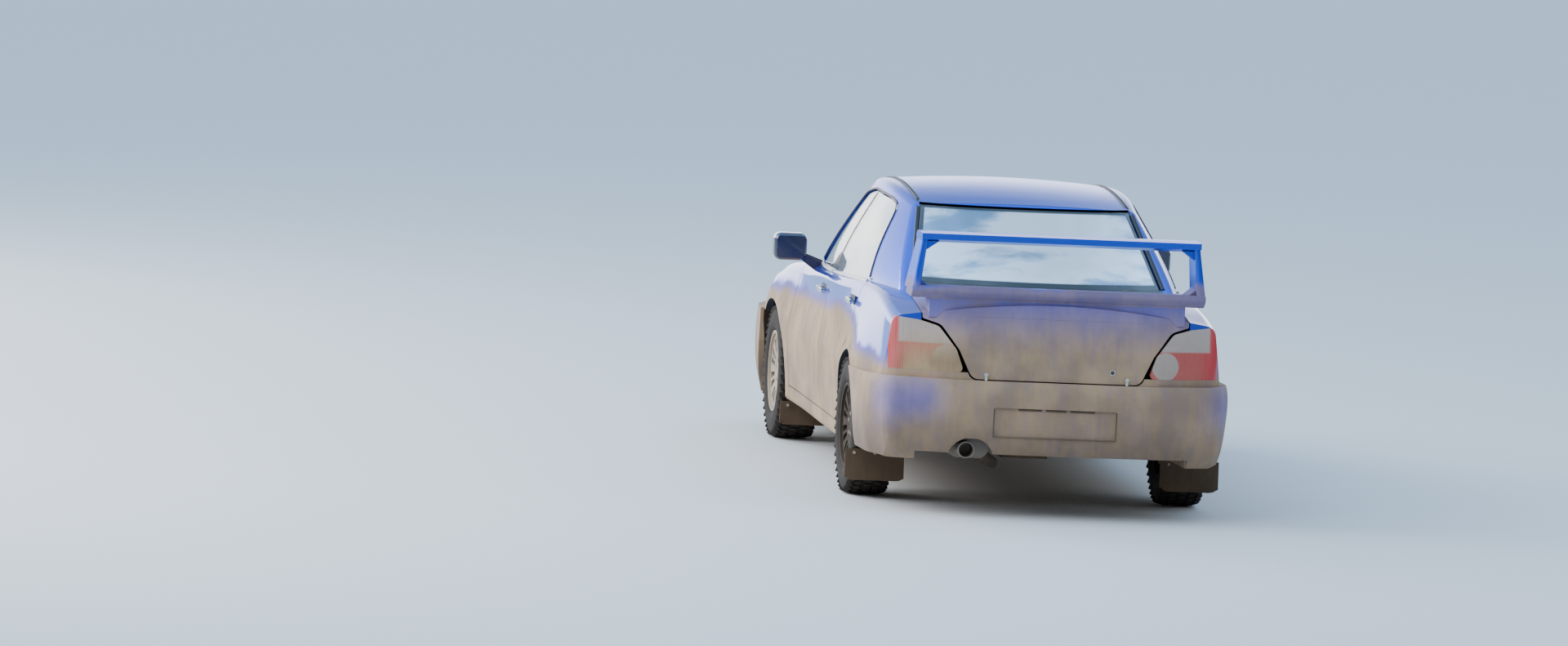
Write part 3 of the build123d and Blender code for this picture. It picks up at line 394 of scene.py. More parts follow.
for finish in (paint_roof, paint_side, paint_wing):
    finish.node_tree.nodes["Principled BSDF"].inputs["Specular Tint"].default_value = BLUE_SHEEN
print("eight blue finishes")

# %% [markdown]
# Some panels need more than one height of mud, or a second, dark tone of painted shade. Each case reads
# the place on the car and feeds the result into the group's inputs or over the finished colour.

# %% Where the mud and the paint change
AXLES = {"front": -1.3075, "rear": 1.2325}
TYRE_RADIUS = 0.323
ARCH_RADIUS = 0.3545
ARCH_BORDER = 0.002

# The wing's feet wear the same mud as the lid, and the blades above them are cleaner.
tree = paint_wing.node_tree
height = split_axes(tree)["Z"]
for label, foot, blade in (("Top", 1.24, 1.13), ("Depth", 0.50, 0.10), ("Amount", 0.97, 0.72)):
    socket = mud_inputs(paint_wing)[label]
    link_value(tree, socket, range_node(tree, height, 1.000, 1.006, foot, blade))

# The mud on the flanks ends at the shoulder line, which runs lower towards the tail.
tree = paint_side.node_tree
axes = split_axes(tree)
rising = range_node(tree, axes["Y"], -1.4, 0.6, 0.80, 0.895, smooth=False)
falling = range_node(tree, axes["Y"], 0.9, 1.7, 0.0, 0.13)
link_value(tree, mud_inputs(paint_side)["Top"], math_node(tree, "SUBTRACT", rising, falling))

# The clear coat is washed on the shoulders and dull on the pillars above them.
coat_socket = tree.nodes["Principled BSDF"].inputs["Coat Weight"]
washed = range_node(tree, axes["Z"], 0.98, 1.04, 1.0, 0.35)
link_value(tree, coat_socket, math_node(tree, "MULTIPLY", coat_socket.links[0].from_socket, washed))

# Inside the wheel arches the same panels get painted shade, a dark tone.
flattened = tree.nodes.new("ShaderNodeVectorMath")
flattened.operation = "MULTIPLY"
tree.links.new(object_coordinates(tree), flattened.inputs[0])
flattened.inputs[1].default_value = (0, 1, 1)
near = []
for axle_y in AXLES.values():
    away = distance_node(tree, flattened.outputs[0], (0, axle_y, TYRE_RADIUS))
    near.append(range_node(tree, away, ARCH_RADIUS, ARCH_RADIUS - ARCH_BORDER))
add_painted_shade(paint_side, math_node(tree, "MAXIMUM", *near))

# Painted shade darkens the bumpers downwards. The rear structure is a muddy tail panel outside, and
# inside it painted shade makes the boot and tubs dark.
tree = paint_bumper.node_tree
add_painted_shade(paint_bumper, range_node(tree, split_axes(tree)["Z"], 0.52, 0.30, 0.0, 0.38))
tree = tail_shell.node_tree
add_painted_shade(tail_shell, range_node(tree, split_axes(tree)["Y"], 2.05, 2.03))
print("wing, flanks, arches, bumpers and tail adjusted")

# %% [markdown]
# The rest is plastic, steel, rubber and cloth. The front rims still show their pale paint.
# The rear rims are nearly black, far darker than the front ones, as painted shade, and the tyres' black
# rubber keeps only a thin mud film so that it stays dark as painted shade. Both mirror little.

# %% Plastic, metal, rubber and cloth
black_plastic = muddy_material("black_plastic", (0.018, 0.018, 0.02), 0.5, top=0.7, depth=0.4)
dark_steel = muddy_material(
    "dark_steel", (0.035, 0.034, 0.033), 0.6, 0.6, top=0.55, depth=0.45, amount=0.8,
)
silencer_steel = muddy_material(
    "silencer_steel", (0.16, 0.15, 0.14), 0.5, 0.9, top=0.5, depth=0.4, amount=0.6,
)
wheel_paint = muddy_material(
    "wheel_paint", (0.34, 0.32, 0.29), 0.5, 0.2, top=1.3, depth=0.5, amount=0.6, bump=0.6,
)
# Painted shade: the rear rims are nearly black with little mud, far darker than the pale front rims.
wheel_painted_shade = muddy_material(
    "wheel_painted_shade", (0.022, 0.017, 0.014), 0.9, top=1.3, depth=0.5, amount=0.07, bump=0.8,
)
# Painted shade: the black tyres keep only a trace of mud, so they stay nearly black.
tyre_rubber = muddy_material(
    "tyre_rubber", (0.018, 0.015, 0.014), 0.85, top=1.2, depth=0.6, amount=0.03, bump=0.8,
)
flap_rubber = muddy_material(
    "flap_rubber", (0.035, 0.022, 0.018), 0.7, top=0.6, depth=0.3, amount=0.2, bump=0.8,
)
for finish in (wheel_painted_shade, tyre_rubber, flap_rubber):
    finish.node_tree.nodes["Principled BSDF"].inputs["Specular IOR Level"].default_value = 0.2
inner_paint = muddy_material("inner_paint", (0.03, 0.045, 0.12), 0.6, top=0.6, depth=0.4, amount=0.5)
cage_paint = muddy_material(
    "cage_paint", (0.60, 0.61, 0.62), 0.35, 0.1, 0.3, top=0.3, depth=0.2, amount=0.3,
)
cloth_dark = muddy_material("cloth_dark", (0.035, 0.04, 0.06), 0.9, top=0.3, depth=0.2, amount=0.3)
brake_iron = muddy_material("brake_iron", (0.22, 0.2, 0.19), 0.45, 0.9, top=0.9, depth=0.6, amount=0.4)
print("eleven more finishes")

# %% [markdown]
# Glass keeps a plain metallic value and a plain transmission. The side windows get a painted reflection
# of the sky as colour: noise drifts between pale blue and warm white. The windows are dusty, so they
# carry a thin pale film that the mud group also gives, only as colour.


# %% Glass
def glass_material(name, tint, roughness, transmission, ior, metallic=0.0, coat=0.0, alpha=1.0):
    """Glass with plain values. A dusty one gets its colours from nodes afterwards."""
    material = plain_material(name, tint, roughness, metallic)
    values = {"Transmission Weight": transmission, "IOR": ior, "Coat Weight": coat, "Alpha": alpha}
    for label, value in values.items():
        material.node_tree.nodes["Principled BSDF"].inputs[label].default_value = value
    return material


window_glass = glass_material("window_glass", (0.90, 0.90, 0.80), 0.05, 0.3, 1.45, 0.45, 1.0, 0.62)
tree = window_glass.node_tree
film = add_mud(tree, 1.12, 0.16, 0.35, 0.08)
# Painted reflection of the sky: noise drifts between pale blue and warm white in the glass colour, under
# the dust film.
sky_reflection_drifts = noise_node(tree, stretched(tree, object_coordinates(tree), (3, 2.5, 7)), 1.0, 4)
bright = mix_colour(tree, range_node(tree, sky_reflection_drifts, 0.42, 0.60), (0.66, 0.80, 0.86), (1.0, 0.98, 0.88))
bright = mix_colour(tree, film.outputs["Mask"], bright, (0.42, 0.36, 0.28))
tree.links.new(bright, tree.nodes["Principled BSDF"].inputs["Base Color"])
lamp_clear = glass_material("lamp_clear", (0.92, 0.92, 0.9), 0.08, 0.85, 1.45, alpha=0.85)
print("window glass and clear lens")

# %% [markdown]
# The screens have a printed black border that hides the glue, a dusty film, and a painted reflection of
# blue sky and white clouds, mixed by a stretched noise. All come from the glass's own position: the
# border from the distance to the edges of the opening, the dust from the mud group, the painted
# reflection from the noise.


# %% Screens with a black border
def screen_glass(name, base_half, base_z, top_half, top_z, border, dust_top, dust_amount):
    """Dusty glass with a painted reflection of clouds, for an opening with half widths and heights at
    its base and its top.
    """
    material = glass_material(name, (0.6, 0.72, 0.74), 0.05, 0.15, 1.5, 0.8, 1.0)
    tree = material.node_tree
    shader = tree.nodes["Principled BSDF"]
    axes = split_axes(tree)
    across = math_node(tree, "ABSOLUTE", axes["X"], 0)
    slope = (base_half - top_half) / (top_z - base_z)
    inboard = math_node(tree, "ADD", across, math_node(tree, "MULTIPLY", axes["Z"], slope))
    side_edge = base_half + slope * base_z
    near_side = range_node(tree, inboard, side_edge - border, side_edge - border * 0.8)
    near_top = range_node(tree, axes["Z"], top_z - border * 0.8, top_z - border * 0.6)
    near_base = range_node(tree, axes["Z"], base_z + border * 0.8, base_z + border * 0.6)
    black = math_node(tree, "MAXIMUM", math_node(tree, "MAXIMUM", near_side, near_top), near_base)
    dust = add_mud(tree, dust_top, 0.35, dust_amount, 0.12).outputs["Mask"]
    # Painted reflection: a stretched noise mixes blue sky and white clouds into the glass colour.
    cloud_reflection = noise_node(tree, stretched(tree, object_coordinates(tree), (1.9, 3.0, 4.6)), 1.0, 5, 0.6)
    pale = range_node(tree, cloud_reflection, 0.36, 0.56)
    painted_reflection = mix_colour(tree, pale, (0.30, 0.50, 0.72), (1.0, 1.0, 1.0))
    reflection_and_dust = mix_colour(tree, math_node(tree, "MULTIPLY", dust, 0.4), painted_reflection, (0.70, 0.74, 0.74))
    tree.links.new(mix_colour(tree, black, reflection_and_dust, (0.01, 0.01, 0.011)), shader.inputs["Base Color"])
    link_value(tree, shader.inputs["Roughness"], range_node(tree, dust, 0, 0.6, 0.03, 0.4))
    # The glass is more opaque under dust and where the painted reflection is pale.
    opaque = math_node(tree, "ADD", math_node(tree, "MULTIPLY", dust, 0.25), 0.58)
    opaque = math_node(tree, "ADD", opaque, math_node(tree, "MULTIPLY", pale, 0.35))
    link_value(tree, shader.inputs["Alpha"], math_node(tree, "MAXIMUM", black, opaque, clamp=True))
    return material


rear_screen = screen_glass("rear_screen", 0.590, 1.030, 0.500, 1.357, 0.030, 1.32, 0.5)
front_screen = screen_glass("front_screen", 0.655, 0.925, 0.500, 1.379, 0.034, 1.15, 0.35)
print("two screens")

# %% [markdown]
# The tail lamps are single mouldings with coloured zones: red along the outer edge and the
# foot, and a clear part above and inboard. The zones are drawn in the material from the
# lens's own position, with soft borders and fine moulded ribs.

# %% Tail lamp lenses
LENS_RED = (0.50, 0.035, 0.05)
LENS_CLEAR = (0.42, 0.35, 0.32)
ROUND_CENTRE = (0.513, 0, 0.733)

tail_lens = plain_material("tail_lens", (0.7, 0.03, 0.03), 0.22)
tree = tail_lens.node_tree
shader = tree.nodes["Principled BSDF"]
place = object_coordinates(tree)
axes = split_axes(tree, place)
across = math_node(tree, "ABSOLUTE", axes["X"], 0)
flat = tree.nodes.new("ShaderNodeCombineXYZ")
tree.links.new(across, flat.inputs[0])
tree.links.new(axes["Z"], flat.inputs[2])
from_round = distance_node(tree, flat.outputs[0], ROUND_CENTRE)
outer_red = range_node(tree, across, 0.722, 0.740)
foot_red = range_node(tree, axes["Z"], 0.806, 0.794)
round_clear = range_node(tree, from_round, 0.068, 0.061)
red = math_node(tree, "MAXIMUM", outer_red, foot_red)
red = math_node(tree, "MULTIPLY", red, math_node(tree, "SUBTRACT", 1.0, round_clear))
lens_colour = mix_colour(tree, red, LENS_CLEAR, LENS_RED)
film = add_mud(tree, 1.02, 0.36, 0.62, 0.05)
left_more = range_node(tree, axes["X"], -0.4, 0.5, 0.6, 1.75)
outside_less = range_node(tree, across, 0.66, 0.78, 1.0, 0.15)
mask = math_node(tree, "MULTIPLY", film.outputs["Mask"], left_more)
mask = math_node(tree, "MULTIPLY", mask, outside_less, clamp=True)
tree.links.new(mix_colour(tree, mask, lens_colour, film.outputs["Colour"]), shader.inputs["Base Color"])
link_value(tree, shader.inputs["Roughness"], range_node(tree, mask, 0, 0.6, 0.12, 0.85))
shader.inputs["Coat Weight"].default_value = 0.5
shader.inputs["Subsurface Weight"].default_value = 0.15
ribs = tree.nodes.new("ShaderNodeTexWave")
ribs.wave_type = "BANDS"
ribs.bands_direction = "X"
ribs.inputs["Scale"].default_value = 28
tree.links.new(place, ribs.inputs["Vector"])
add_relief(tree, ribs.outputs["Fac"], 0.25)
print("tail lamps")

# %% [markdown]
# Every node of the solid model now gets its finish. Parts that come as a left and a right
# one share an entry.

# %% Finishes of the solid model
NODE_FINISH = {
    "roof_panel": paint_roof, "boot_lid": paint_lid, "rear_wing": paint_wing, "bonnet": paint_front,
    "front_bumper": paint_bumper, "rear_bumper": paint_bumper, "grille": black_plastic,
    "windscreen": front_screen, "rear_glass": rear_screen, "headlamps": lamp_clear,
    "tail_lamps": tail_lens, "floor_pan": dark_steel, "front_structure": inner_paint,
    "rear_structure": tail_shell, "front_suspension": dark_steel, "rear_suspension": dark_steel,
    "engine_block": dark_steel, "drivetrain": dark_steel, "exhaust": silencer_steel,
    "mudflaps": flap_rubber, "seats": cloth_dark, "roll_cage": cage_paint,
    "dashboard": black_plastic, "steering_wheel": black_plastic,
}
PAIR_FINISH = {
    "fender": paint_side, "body_side": paint_side, "door_front": paint_side, "door_rear": paint_side,
    "glass_front": window_glass, "glass_rear": window_glass, "mirror": paint_mirror,
    "front_knuckle": dark_steel, "tyre_front": tyre_rubber, "tyre_rear": tyre_rubber,
    "rim_front": wheel_paint, "rim_rear": wheel_painted_shade,
    "brake_disc_front": brake_iron, "brake_disc_rear": dark_steel,
}
for stem, finish in PAIR_FINISH.items():
    NODE_FINISH[f"{stem}_left"] = NODE_FINISH[f"{stem}_right"] = finish
for name, node in NODES.items():
    for slot in node.material_slots:
        slot.material = NODE_FINISH[name]
print(len(NODES), "nodes have a finish")

# %% [markdown]
# New pieces are made with bmesh operators and then ride on the body that carries them.
# A few helpers come first: one hands a finished bmesh over, others start common shapes or
# find where a ray meets the solid model.

# %% Helpers for new pieces
SIDES = (("left", 1), ("right", -1))


def finish_piece(name, bm, material, body, smooth=35.0):
    """Turns a bmesh into a named piece that rides on a body."""
    bmesh.ops.recalc_face_normals(bm, faces=bm.faces)
    mesh = bpy.data.meshes.new(name)
    bm.to_mesh(mesh)
    bm.free()
    mesh.materials.append(material)
    if smooth:
        mesh.shade_smooth()
        mesh.set_sharp_from_angle(angle=radians(smooth))
    piece = bpy.data.objects.new(name, mesh)
    bpy.context.scene.collection.objects.link(piece)
    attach(piece, body)
    return piece


def set_down(bm, verts, centre, turn=None):
    """Turns vertices about the origin and then moves them to their place."""
    if turn is not None:
        bmesh.ops.rotate(bm, cent=(0, 0, 0), matrix=turn, verts=verts)
    bmesh.ops.translate(bm, vec=centre, verts=verts)


def spin_round(bm, geom, axis, steps):
    bmesh.ops.spin(
        bm, geom=geom, cent=(0, 0, 0), axis=axis, dvec=(0, 0, 0), angle=2 * pi, steps=steps,
        use_merge=True, use_duplicate=False,
    )


def add_block(bm, centre, size, bevel=0.0, turn=None, segments=2):
    """Box with rounded edges, in metres."""
    made = bmesh.ops.create_cube(bm, size=1.0)["verts"]
    bmesh.ops.scale(bm, vec=size, verts=made)
    if bevel:
        edges = list({e for v in made for e in v.link_edges})
        rounded_off = bmesh.ops.bevel(
            bm, geom=edges, offset=bevel, segments=segments, profile=0.5, affect="EDGES", material=-1,
        )
        made = list({v for f in rounded_off["faces"] for v in f.verts} | {v for v in made if v.is_valid})
    set_down(bm, made, centre, turn)
    return made


def add_rod(bm, start, end, radius, end_radius=None, segments=16):
    """Round bar between two points."""
    start, end = Vector(start), Vector(end)
    made = bmesh.ops.create_cone(
        bm, cap_ends=True, segments=segments, radius1=radius,
        radius2=radius if end_radius is None else end_radius, depth=(end - start).length,
    )["verts"]
    set_down(bm, made, (start + end) / 2, (end - start).to_track_quat("Z", "Y").to_matrix())


def add_strip(bm, path, width, height, outward):
    """Strip laid along a path. outward is the direction that its height stands in."""
    outward = Vector(outward).normalized()
    points = [Vector(p) for p in path]
    rings = []
    for i, point in enumerate(points):
        along = (points[min(i + 1, len(points) - 1)] - points[max(i - 1, 0)]).normalized()
        across = along.cross(outward).normalized() * (width / 2)
        top = point + across.cross(along).normalized() * height
        rings.append([point - across, point + across, top + across * 0.7, top - across * 0.7])
    face = bm.faces.new([bm.verts.new(p) for p in rings[0]])
    loop = list(face.verts)
    for ring in rings[1:]:
        grown = bmesh.ops.extrude_face_region(bm, geom=[face], use_keep_orig=False)["geom"]
        new_verts = [v for v in grown if isinstance(v, bmesh.types.BMVert)]
        face = next(f for f in grown if isinstance(f, bmesh.types.BMFace))
        loop = [next(v for v in new_verts if (v.co - old.co).length < 1e-7) for old in loop]
        for vert, corner in zip(loop, ring):
            vert.co = corner


def strip_piece(name, path, size, outward, material, body, smooth=35.0):
    """Piece made of one strip. size is its width and its height."""
    bm = bmesh.new()
    add_strip(bm, path, *size, outward)
    finish_piece(name, bm, material, body, smooth)


def touch(node, origin, direction):
    """Point where a ray first meets a CAD node, or None."""
    hit, point, *_ = NODES[node].ray_cast(Vector(origin), Vector(direction))
    return point if hit else None


def trace(node, origins, direction, lift=(0, 0, 0)):
    """Points where parallel rays meet a CAD node, moved by lift. Rays that miss add none."""
    found = [touch(node, origin, direction) for origin in origins]
    return [point + Vector(lift) for point in found if point is not None]


def even_rows(start, end, count):
    """Numbers from start to end in equal steps."""
    return [start + (end - start) * k / count for k in range(count + 1)]


print("helpers ready")

# %% [markdown]
# The side windows sit in thin dark rubber edges, and a bright strip runs along the top of
# the doors. Their paths follow the outline of the daylight opening in side view, and a ray
# cast from outside finds how far out the panel is at each point.

# %% Window rubbers and belt strips
rubber = muddy_material(
    "rubber_black", (0.012, 0.011, 0.011), 0.55, top=1.25, depth=0.9, amount=0.25,
)
rubber_brown = muddy_material(
    "rubber_brown", (0.05, 0.018, 0.014), 0.5, top=1.2, depth=0.9, amount=0.3,
)
belt_metal = muddy_material(
    "belt_metal", (0.55, 0.56, 0.58), 0.25, 0.9, top=1.2, depth=0.6, amount=0.5,
)
DOOR_BELTS = (("front", -0.655, 0.193), ("rear", 0.216, 1.03))
BELT_DROP = 0.008
POST_Y = 0.205
WINDOW_CORNER = 0.07
WINDOW_STEP = 0.06
# Width and height of each kind of strip.
RUBBER_SIZE = (0.011, 0.004)
BELT_SIZE = (0.016, 0.005)
POST_SIZE = (0.026, 0.004)


def belt_height(y):
    """Height of the window sill line, which rises towards the tail."""
    return 0.935 + (y + 0.48) * 0.055 / 1.48


WINDOW_OUTLINE = (
    (-0.672, belt_height(-0.672) + 0.012), (-0.44, 1.118), (-0.219, 1.304), (-0.03, 1.330),
    (0.15, 1.353), (0.38, 1.352), (0.60, 1.349), (0.774, 1.329), (0.90, 1.15),
    (1.024, belt_height(1.024) + 0.012),
)


def rounded(points, radius, steps=4):
    """Path with each inner corner replaced by a short arc."""
    points = [Vector(p) for p in points]
    path = [points[0]]
    for before, corner, after in zip(points, points[1:], points[2:]):
        reach = min(radius, (corner - before).length * 0.45, (after - corner).length * 0.45)
        a = corner + (before - corner).normalized() * reach
        b = corner + (after - corner).normalized() * reach
        for t in even_rows(0, 1, steps):
            path.append(a * (1 - t) ** 2 + corner * (2 * t * (1 - t)) + b * t ** 2)
    return path + [points[-1]]


def even_steps(points, spacing):
    """Same path with points no further apart than spacing."""
    path = []
    for a, b in zip(points, points[1:]):
        count = max(1, int((b - a).length / spacing))
        path += [a.lerp(b, k / count) for k in range(count)]
    return path + [points[-1]]


def side_path(points, side, node, lift):
    """Points (y, z) taken to where a ray from the side meets the node."""
    return trace(node, [(side * 1.2, y, z) for y, z in points], (-side, 0, 0), (side * lift, 0, 0))


for side_name, side in SIDES:
    body_side = f"body_side_{side_name}"
    outline = rounded([(y, z, 0) for y, z in WINDOW_OUTLINE], WINDOW_CORNER)
    outline = even_steps([point.xy for point in outline], WINDOW_STEP)
    path = side_path(outline, side, body_side, 0.001)
    strip_piece(f"window_rubber_{side_name}", path, RUBBER_SIZE, (side, 0, 0.35), rubber_brown, "shell")
    for door, y0, y1 in DOOR_BELTS:
        body = f"door_{door}_{side_name}"
        line = [(y, belt_height(y) - BELT_DROP) for y in even_rows(y0, y1, 10)]
        path = side_path(line, side, body, 0.0005)
        strip_piece(f"belt_strip_{door}_{side_name}", path, BELT_SIZE, (side, 0, 0.5), belt_metal, body)
    post = [(POST_Y, belt_height(POST_Y) + 0.02 + 0.035 * k) for k in range(11)]
    path = side_path(post, side, body_side, 0.018)
    strip_piece(f"pillar_strip_{side_name}", path, POST_SIZE, (side, 0, 0.3), rubber_brown, "shell")
print("window rubbers and belt strips")

# %% [markdown]
# Black strips cover the joints beside the roof and run down each side of the rear glass to
# the deck, where rain drips off. Seen from behind they are the dark lines that frame the
# glass.

# %% Drip strips
ROOF_JOINT_X = 0.497
ROOF_FRONT_Y, ROOF_STEP = -0.26, 0.062
GLASS_TOP_X, GLASS_TOP_Z, GLASS_STEP = 0.5, 1.357, 0.0212
GLASS_SPREAD = 0.09 / 0.327
LONGEST_GAP = 0.15

for side_name, side in SIDES:
    over_roof = [(side * ROOF_JOINT_X, ROOF_FRONT_Y + k * ROOF_STEP, 2.0) for k in range(19)]
    line = trace("roof_panel", over_roof, (0, 0, -1), (0, 0, 0.0005))
    beside_glass = []
    for k in range(1, 16):
        z = GLASS_TOP_Z - 0.005 - k * GLASS_STEP
        x = GLASS_TOP_X + (GLASS_TOP_Z - z) * GLASS_SPREAD
        beside_glass.append((side * (x + 0.006), 2.4, z))
    for found in trace(f"body_side_{side_name}", beside_glass, (0, -1, 0)):
        if (found - line[-1]).length < LONGEST_GAP:
            line.append(found + Vector((0, 0.001, 0)))
    strip_piece(f"drip_strip_{side_name}", line, (0.018, 0.005), (0, 0.45, 0.9), rubber, "shell")
    print("drip strip", side_name, len(line), "points")

# %% [markdown]
# The door handles are plated bars, each on two short feet over a finger bowl that is painted near-black
# navy as painted shade.

# %% Door handles
HANDLES = (("front", 0.075, 0.853), ("rear", 0.955, 0.882))
plated = muddy_material("plated", (0.62, 0.63, 0.65), 0.18, 1.0, top=0.92, depth=0.5, amount=0.35)
# Painted shade: the finger bowl behind each handle is near-black navy instead of the body blue.
bowl_painted_shade = muddy_material("bowl_painted_shade", (0.02, 0.025, 0.05), 0.6, top=0.9, depth=0.3, amount=0.6)

for side_name, side in SIDES:
    for door, y, z in HANDLES:
        body = f"door_{door}_{side_name}"
        x = touch(body, (side * 1.2, y, z), (-side, 0, 0)).x
        bm = bmesh.new()
        add_block(bm, (x + side * 0.022, y, z), (0.014, 0.165, 0.026), 0.006, segments=3)
        for foot_y in (y - 0.066, y + 0.066):
            add_block(bm, (x + side * 0.008, foot_y, z), (0.028, 0.02, 0.018), 0.004)
        finish_piece(f"handle_{door}_{side_name}", bm, plated, body)
        bm = bmesh.new()
        add_block(bm, (x - side * 0.002, y + 0.005, z + 0.004), (0.008, 0.15, 0.044), 0.0035, segments=3)
        finish_piece(f"handle_bowl_{door}_{side_name}", bm, bowl_painted_shade, body)
print("four handles")

# %% [markdown]
# Small things on the tail: the lock in the lid, the two catch pins at its lower edge, the dark slots of
# the plate lamps and thin dark strips of painted shade along the edges of the plate recess.

# %% Tail trim
LOCK_PLACE = (-0.261, 2.6, 0.699)
CATCH_X, CATCH_Z = 0.33, 0.668
PLATE_LAMPS = ((-0.185, -0.07), (-0.05, 0.045), (0.065, 0.175))
RECESS_Y = 2.1983
RECESS_HALF, RECESS_FOOT, RECESS_MIDDLE = 0.2870, 0.3825, 0.450
# Painted shade: thin dark strips along the edges of the plate recess.
recess_painted_shade = muddy_material(
    "recess_painted_shade", (0.06, 0.045, 0.035), 0.9, top=0.9, depth=0.3, amount=0.25,
)

lock = touch("boot_lid", LOCK_PLACE, (0, -1, 0))
bm = bmesh.new()
add_rod(bm, lock + Vector((0, -0.003, 0)), lock + Vector((0, 0.003, 0)), 0.0135, segments=24)
finish_piece("lid_lock_ring", bm, plated, "boot_lid")
bm = bmesh.new()
add_rod(bm, lock + Vector((0, 0.002, 0)), lock + Vector((0, 0.0045, 0)), 0.0095, segments=24)
finish_piece("lid_lock", bm, rubber, "boot_lid")
for side_name, side in SIDES:
    catch = touch("boot_lid", (side * CATCH_X, 2.6, CATCH_Z), (0, -1, 0))
    bm = bmesh.new()
    add_rod(bm, catch + Vector((0, -0.002, 0)), catch + Vector((0, 0.012, 0)), 0.009)
    add_block(bm, catch + Vector((0, 0.008, -0.012)), (0.012, 0.006, 0.03), 0.002)
    finish_piece(f"catch_pin_{side_name}", bm, plated, "boot_lid")
bm = bmesh.new()
for x0, x1 in PLATE_LAMPS:
    add_block(bm, ((x0 + x1) / 2, 2.1985, 0.5125), (x1 - x0, 0.006, 0.009), 0.002)
finish_piece("plate_lamp_slots", bm, rubber, "shell")
# Painted shade along the foot and the sides of the plate recess.
bm = bmesh.new()
add_block(bm, (0, RECESS_Y, RECESS_FOOT), (0.578, 0.003, 0.005), 0.001)
for side_name, side in SIDES:
    add_block(bm, (side * RECESS_HALF, RECESS_Y, RECESS_MIDDLE), (0.005, 0.003, 0.130), 0.001)
finish_piece("plate_recess_shade", bm, recess_painted_shade, "shell")
print("tail trim done")

# %% [markdown]
# Below, each bumper turns its corner on a round that narrows downwards. Four curved panels
# carry that round. Each is a stack of arcs between the side and the end face, joined by
# faces and given a wall.

# %% Lower bumper corners
CORNER_STEPS = 10
CORNER_BULGE = 0.065
CORNER_WALL = 0.003
# Each end has its direction in Y, the X of its side and the Y of its end face. A row gives a
# height, where the side ends in Y and where the end face ends in X.
CORNERS = {
    "rear": (1, 0.770, 2.110, (
        (0.262, 2.0180, 0.6550), (0.270, 2.0304, 0.6725), (0.280, 2.0445, 0.6934),
        (0.290, 2.0571, 0.7122), (0.305, 2.0708, 0.7290), (0.320, 2.0807, 0.7401),
        (0.340, 2.0907, 0.7504), (0.360, 2.0980, 0.7580), (0.380, 2.1037, 0.7638),
        (0.400, 2.1085, 0.7685),
    )),
    "front": (-1, 0.768, -2.080, (
        (0.1905, -1.9310, 0.6530), (0.196, -1.9389, 0.6663), (0.205, -1.9520, 0.6834),
        (0.215, -1.9652, 0.6969), (0.230, -1.9833, 0.7121), (0.245, -1.9993, 0.7233),
        (0.260, -2.0135, 0.7323), (0.280, -2.0299, 0.7417), (0.300, -2.0434, 0.7490),
        (0.320, -2.0547, 0.7549), (0.340, -2.0639, 0.7597), (0.360, -2.0712, 0.7635),
        (0.380, -2.0767, 0.7662), (0.395, -2.0795, 0.7678),
    )),
}
for end, (way, side_x, end_y, corner_rows) in CORNERS.items():
    for side_name, side in SIDES:
        bm = bmesh.new()
        rows = []
        for z, side_y, end_x in corner_rows:
            along = Vector((end_x - side_x, end_y - side_y, 0))
            outward = Vector((abs(along.y), way * abs(along.x), 0)) * CORNER_BULGE
            row = []
            for t in even_rows(0, 1, CORNER_STEPS):
                point = Vector((side_x, side_y, z)) + along * t + outward * 4 * t * (1 - t)
                row.append(bm.verts.new((side * point.x, point.y, point.z)))
            rows.append(row)
        for low, high in zip(rows, rows[1:]):
            for k in range(CORNER_STEPS):
                bm.faces.new((low[k], low[k + 1], high[k + 1], high[k]))
        bmesh.ops.recalc_face_normals(bm, faces=bm.faces)
        bmesh.ops.solidify(bm, geom=bm.faces[:], thickness=CORNER_WALL)
        name = f"{end}_bumper_corner_{side_name}"
        finish_piece(name, bm, paint_bumper, "shell")
print("four bumper corners")

# %% [markdown]
# The mirror looks back at the following road, so its glass faces the tail. It is dark and
# very smooth, in a rounded frame.

# %% Mirror glass
mirror_glass = plain_material("mirror_glass", (0.10, 0.12, 0.12), 0.03, 1.0)
for side_name, side in SIDES:
    bm = bmesh.new()
    add_block(bm, (side * 0.888, -0.5545, 0.995), (0.130, 0.005, 0.102), 0.0022)
    finish_piece(f"mirror_glass_{side_name}", bm, mirror_glass, f"door_front_{side_name}")
print("mirror glass done")

# %% [markdown]
# Gravel tyres have open, blocky tread. One tyre is spun from half a cross section, its
# sidewall gets a raised rim guard, and rows of separate blocks stand on the crown. The
# same mesh serves all four wheels, moved to each axle.

# %% Gravel tyres
WHEEL_X = 0.745
TYRE_PROFILE = [
    (-0.0795, 0.1905), (-0.088, 0.2), (-0.0965, 0.213), (-0.1015, 0.232), (-0.1025, 0.250),
    (-0.1005, 0.272), (-0.0965, 0.288), (-0.094, 0.299), (-0.084, 0.3105), (-0.06, 0.3135),
    (0.0, 0.3145),
]
# Each row of blocks has its place across the tread, its width and its shift round it.
BLOCK_ROWS = (
    (-0.083, 0.030, 0.0), (-0.046, 0.030, 0.5), (0.0, 0.034, 0.0), (0.046, 0.030, 0.5),
    (0.083, 0.030, 0.0),
)
BLOCKS_ROUND = 44
BLOCK_SKEW = 0.35
SHOULDER_X = 0.07
SHOULDER_LEAN = 0.28
SHOULDER_DROP = 0.0045


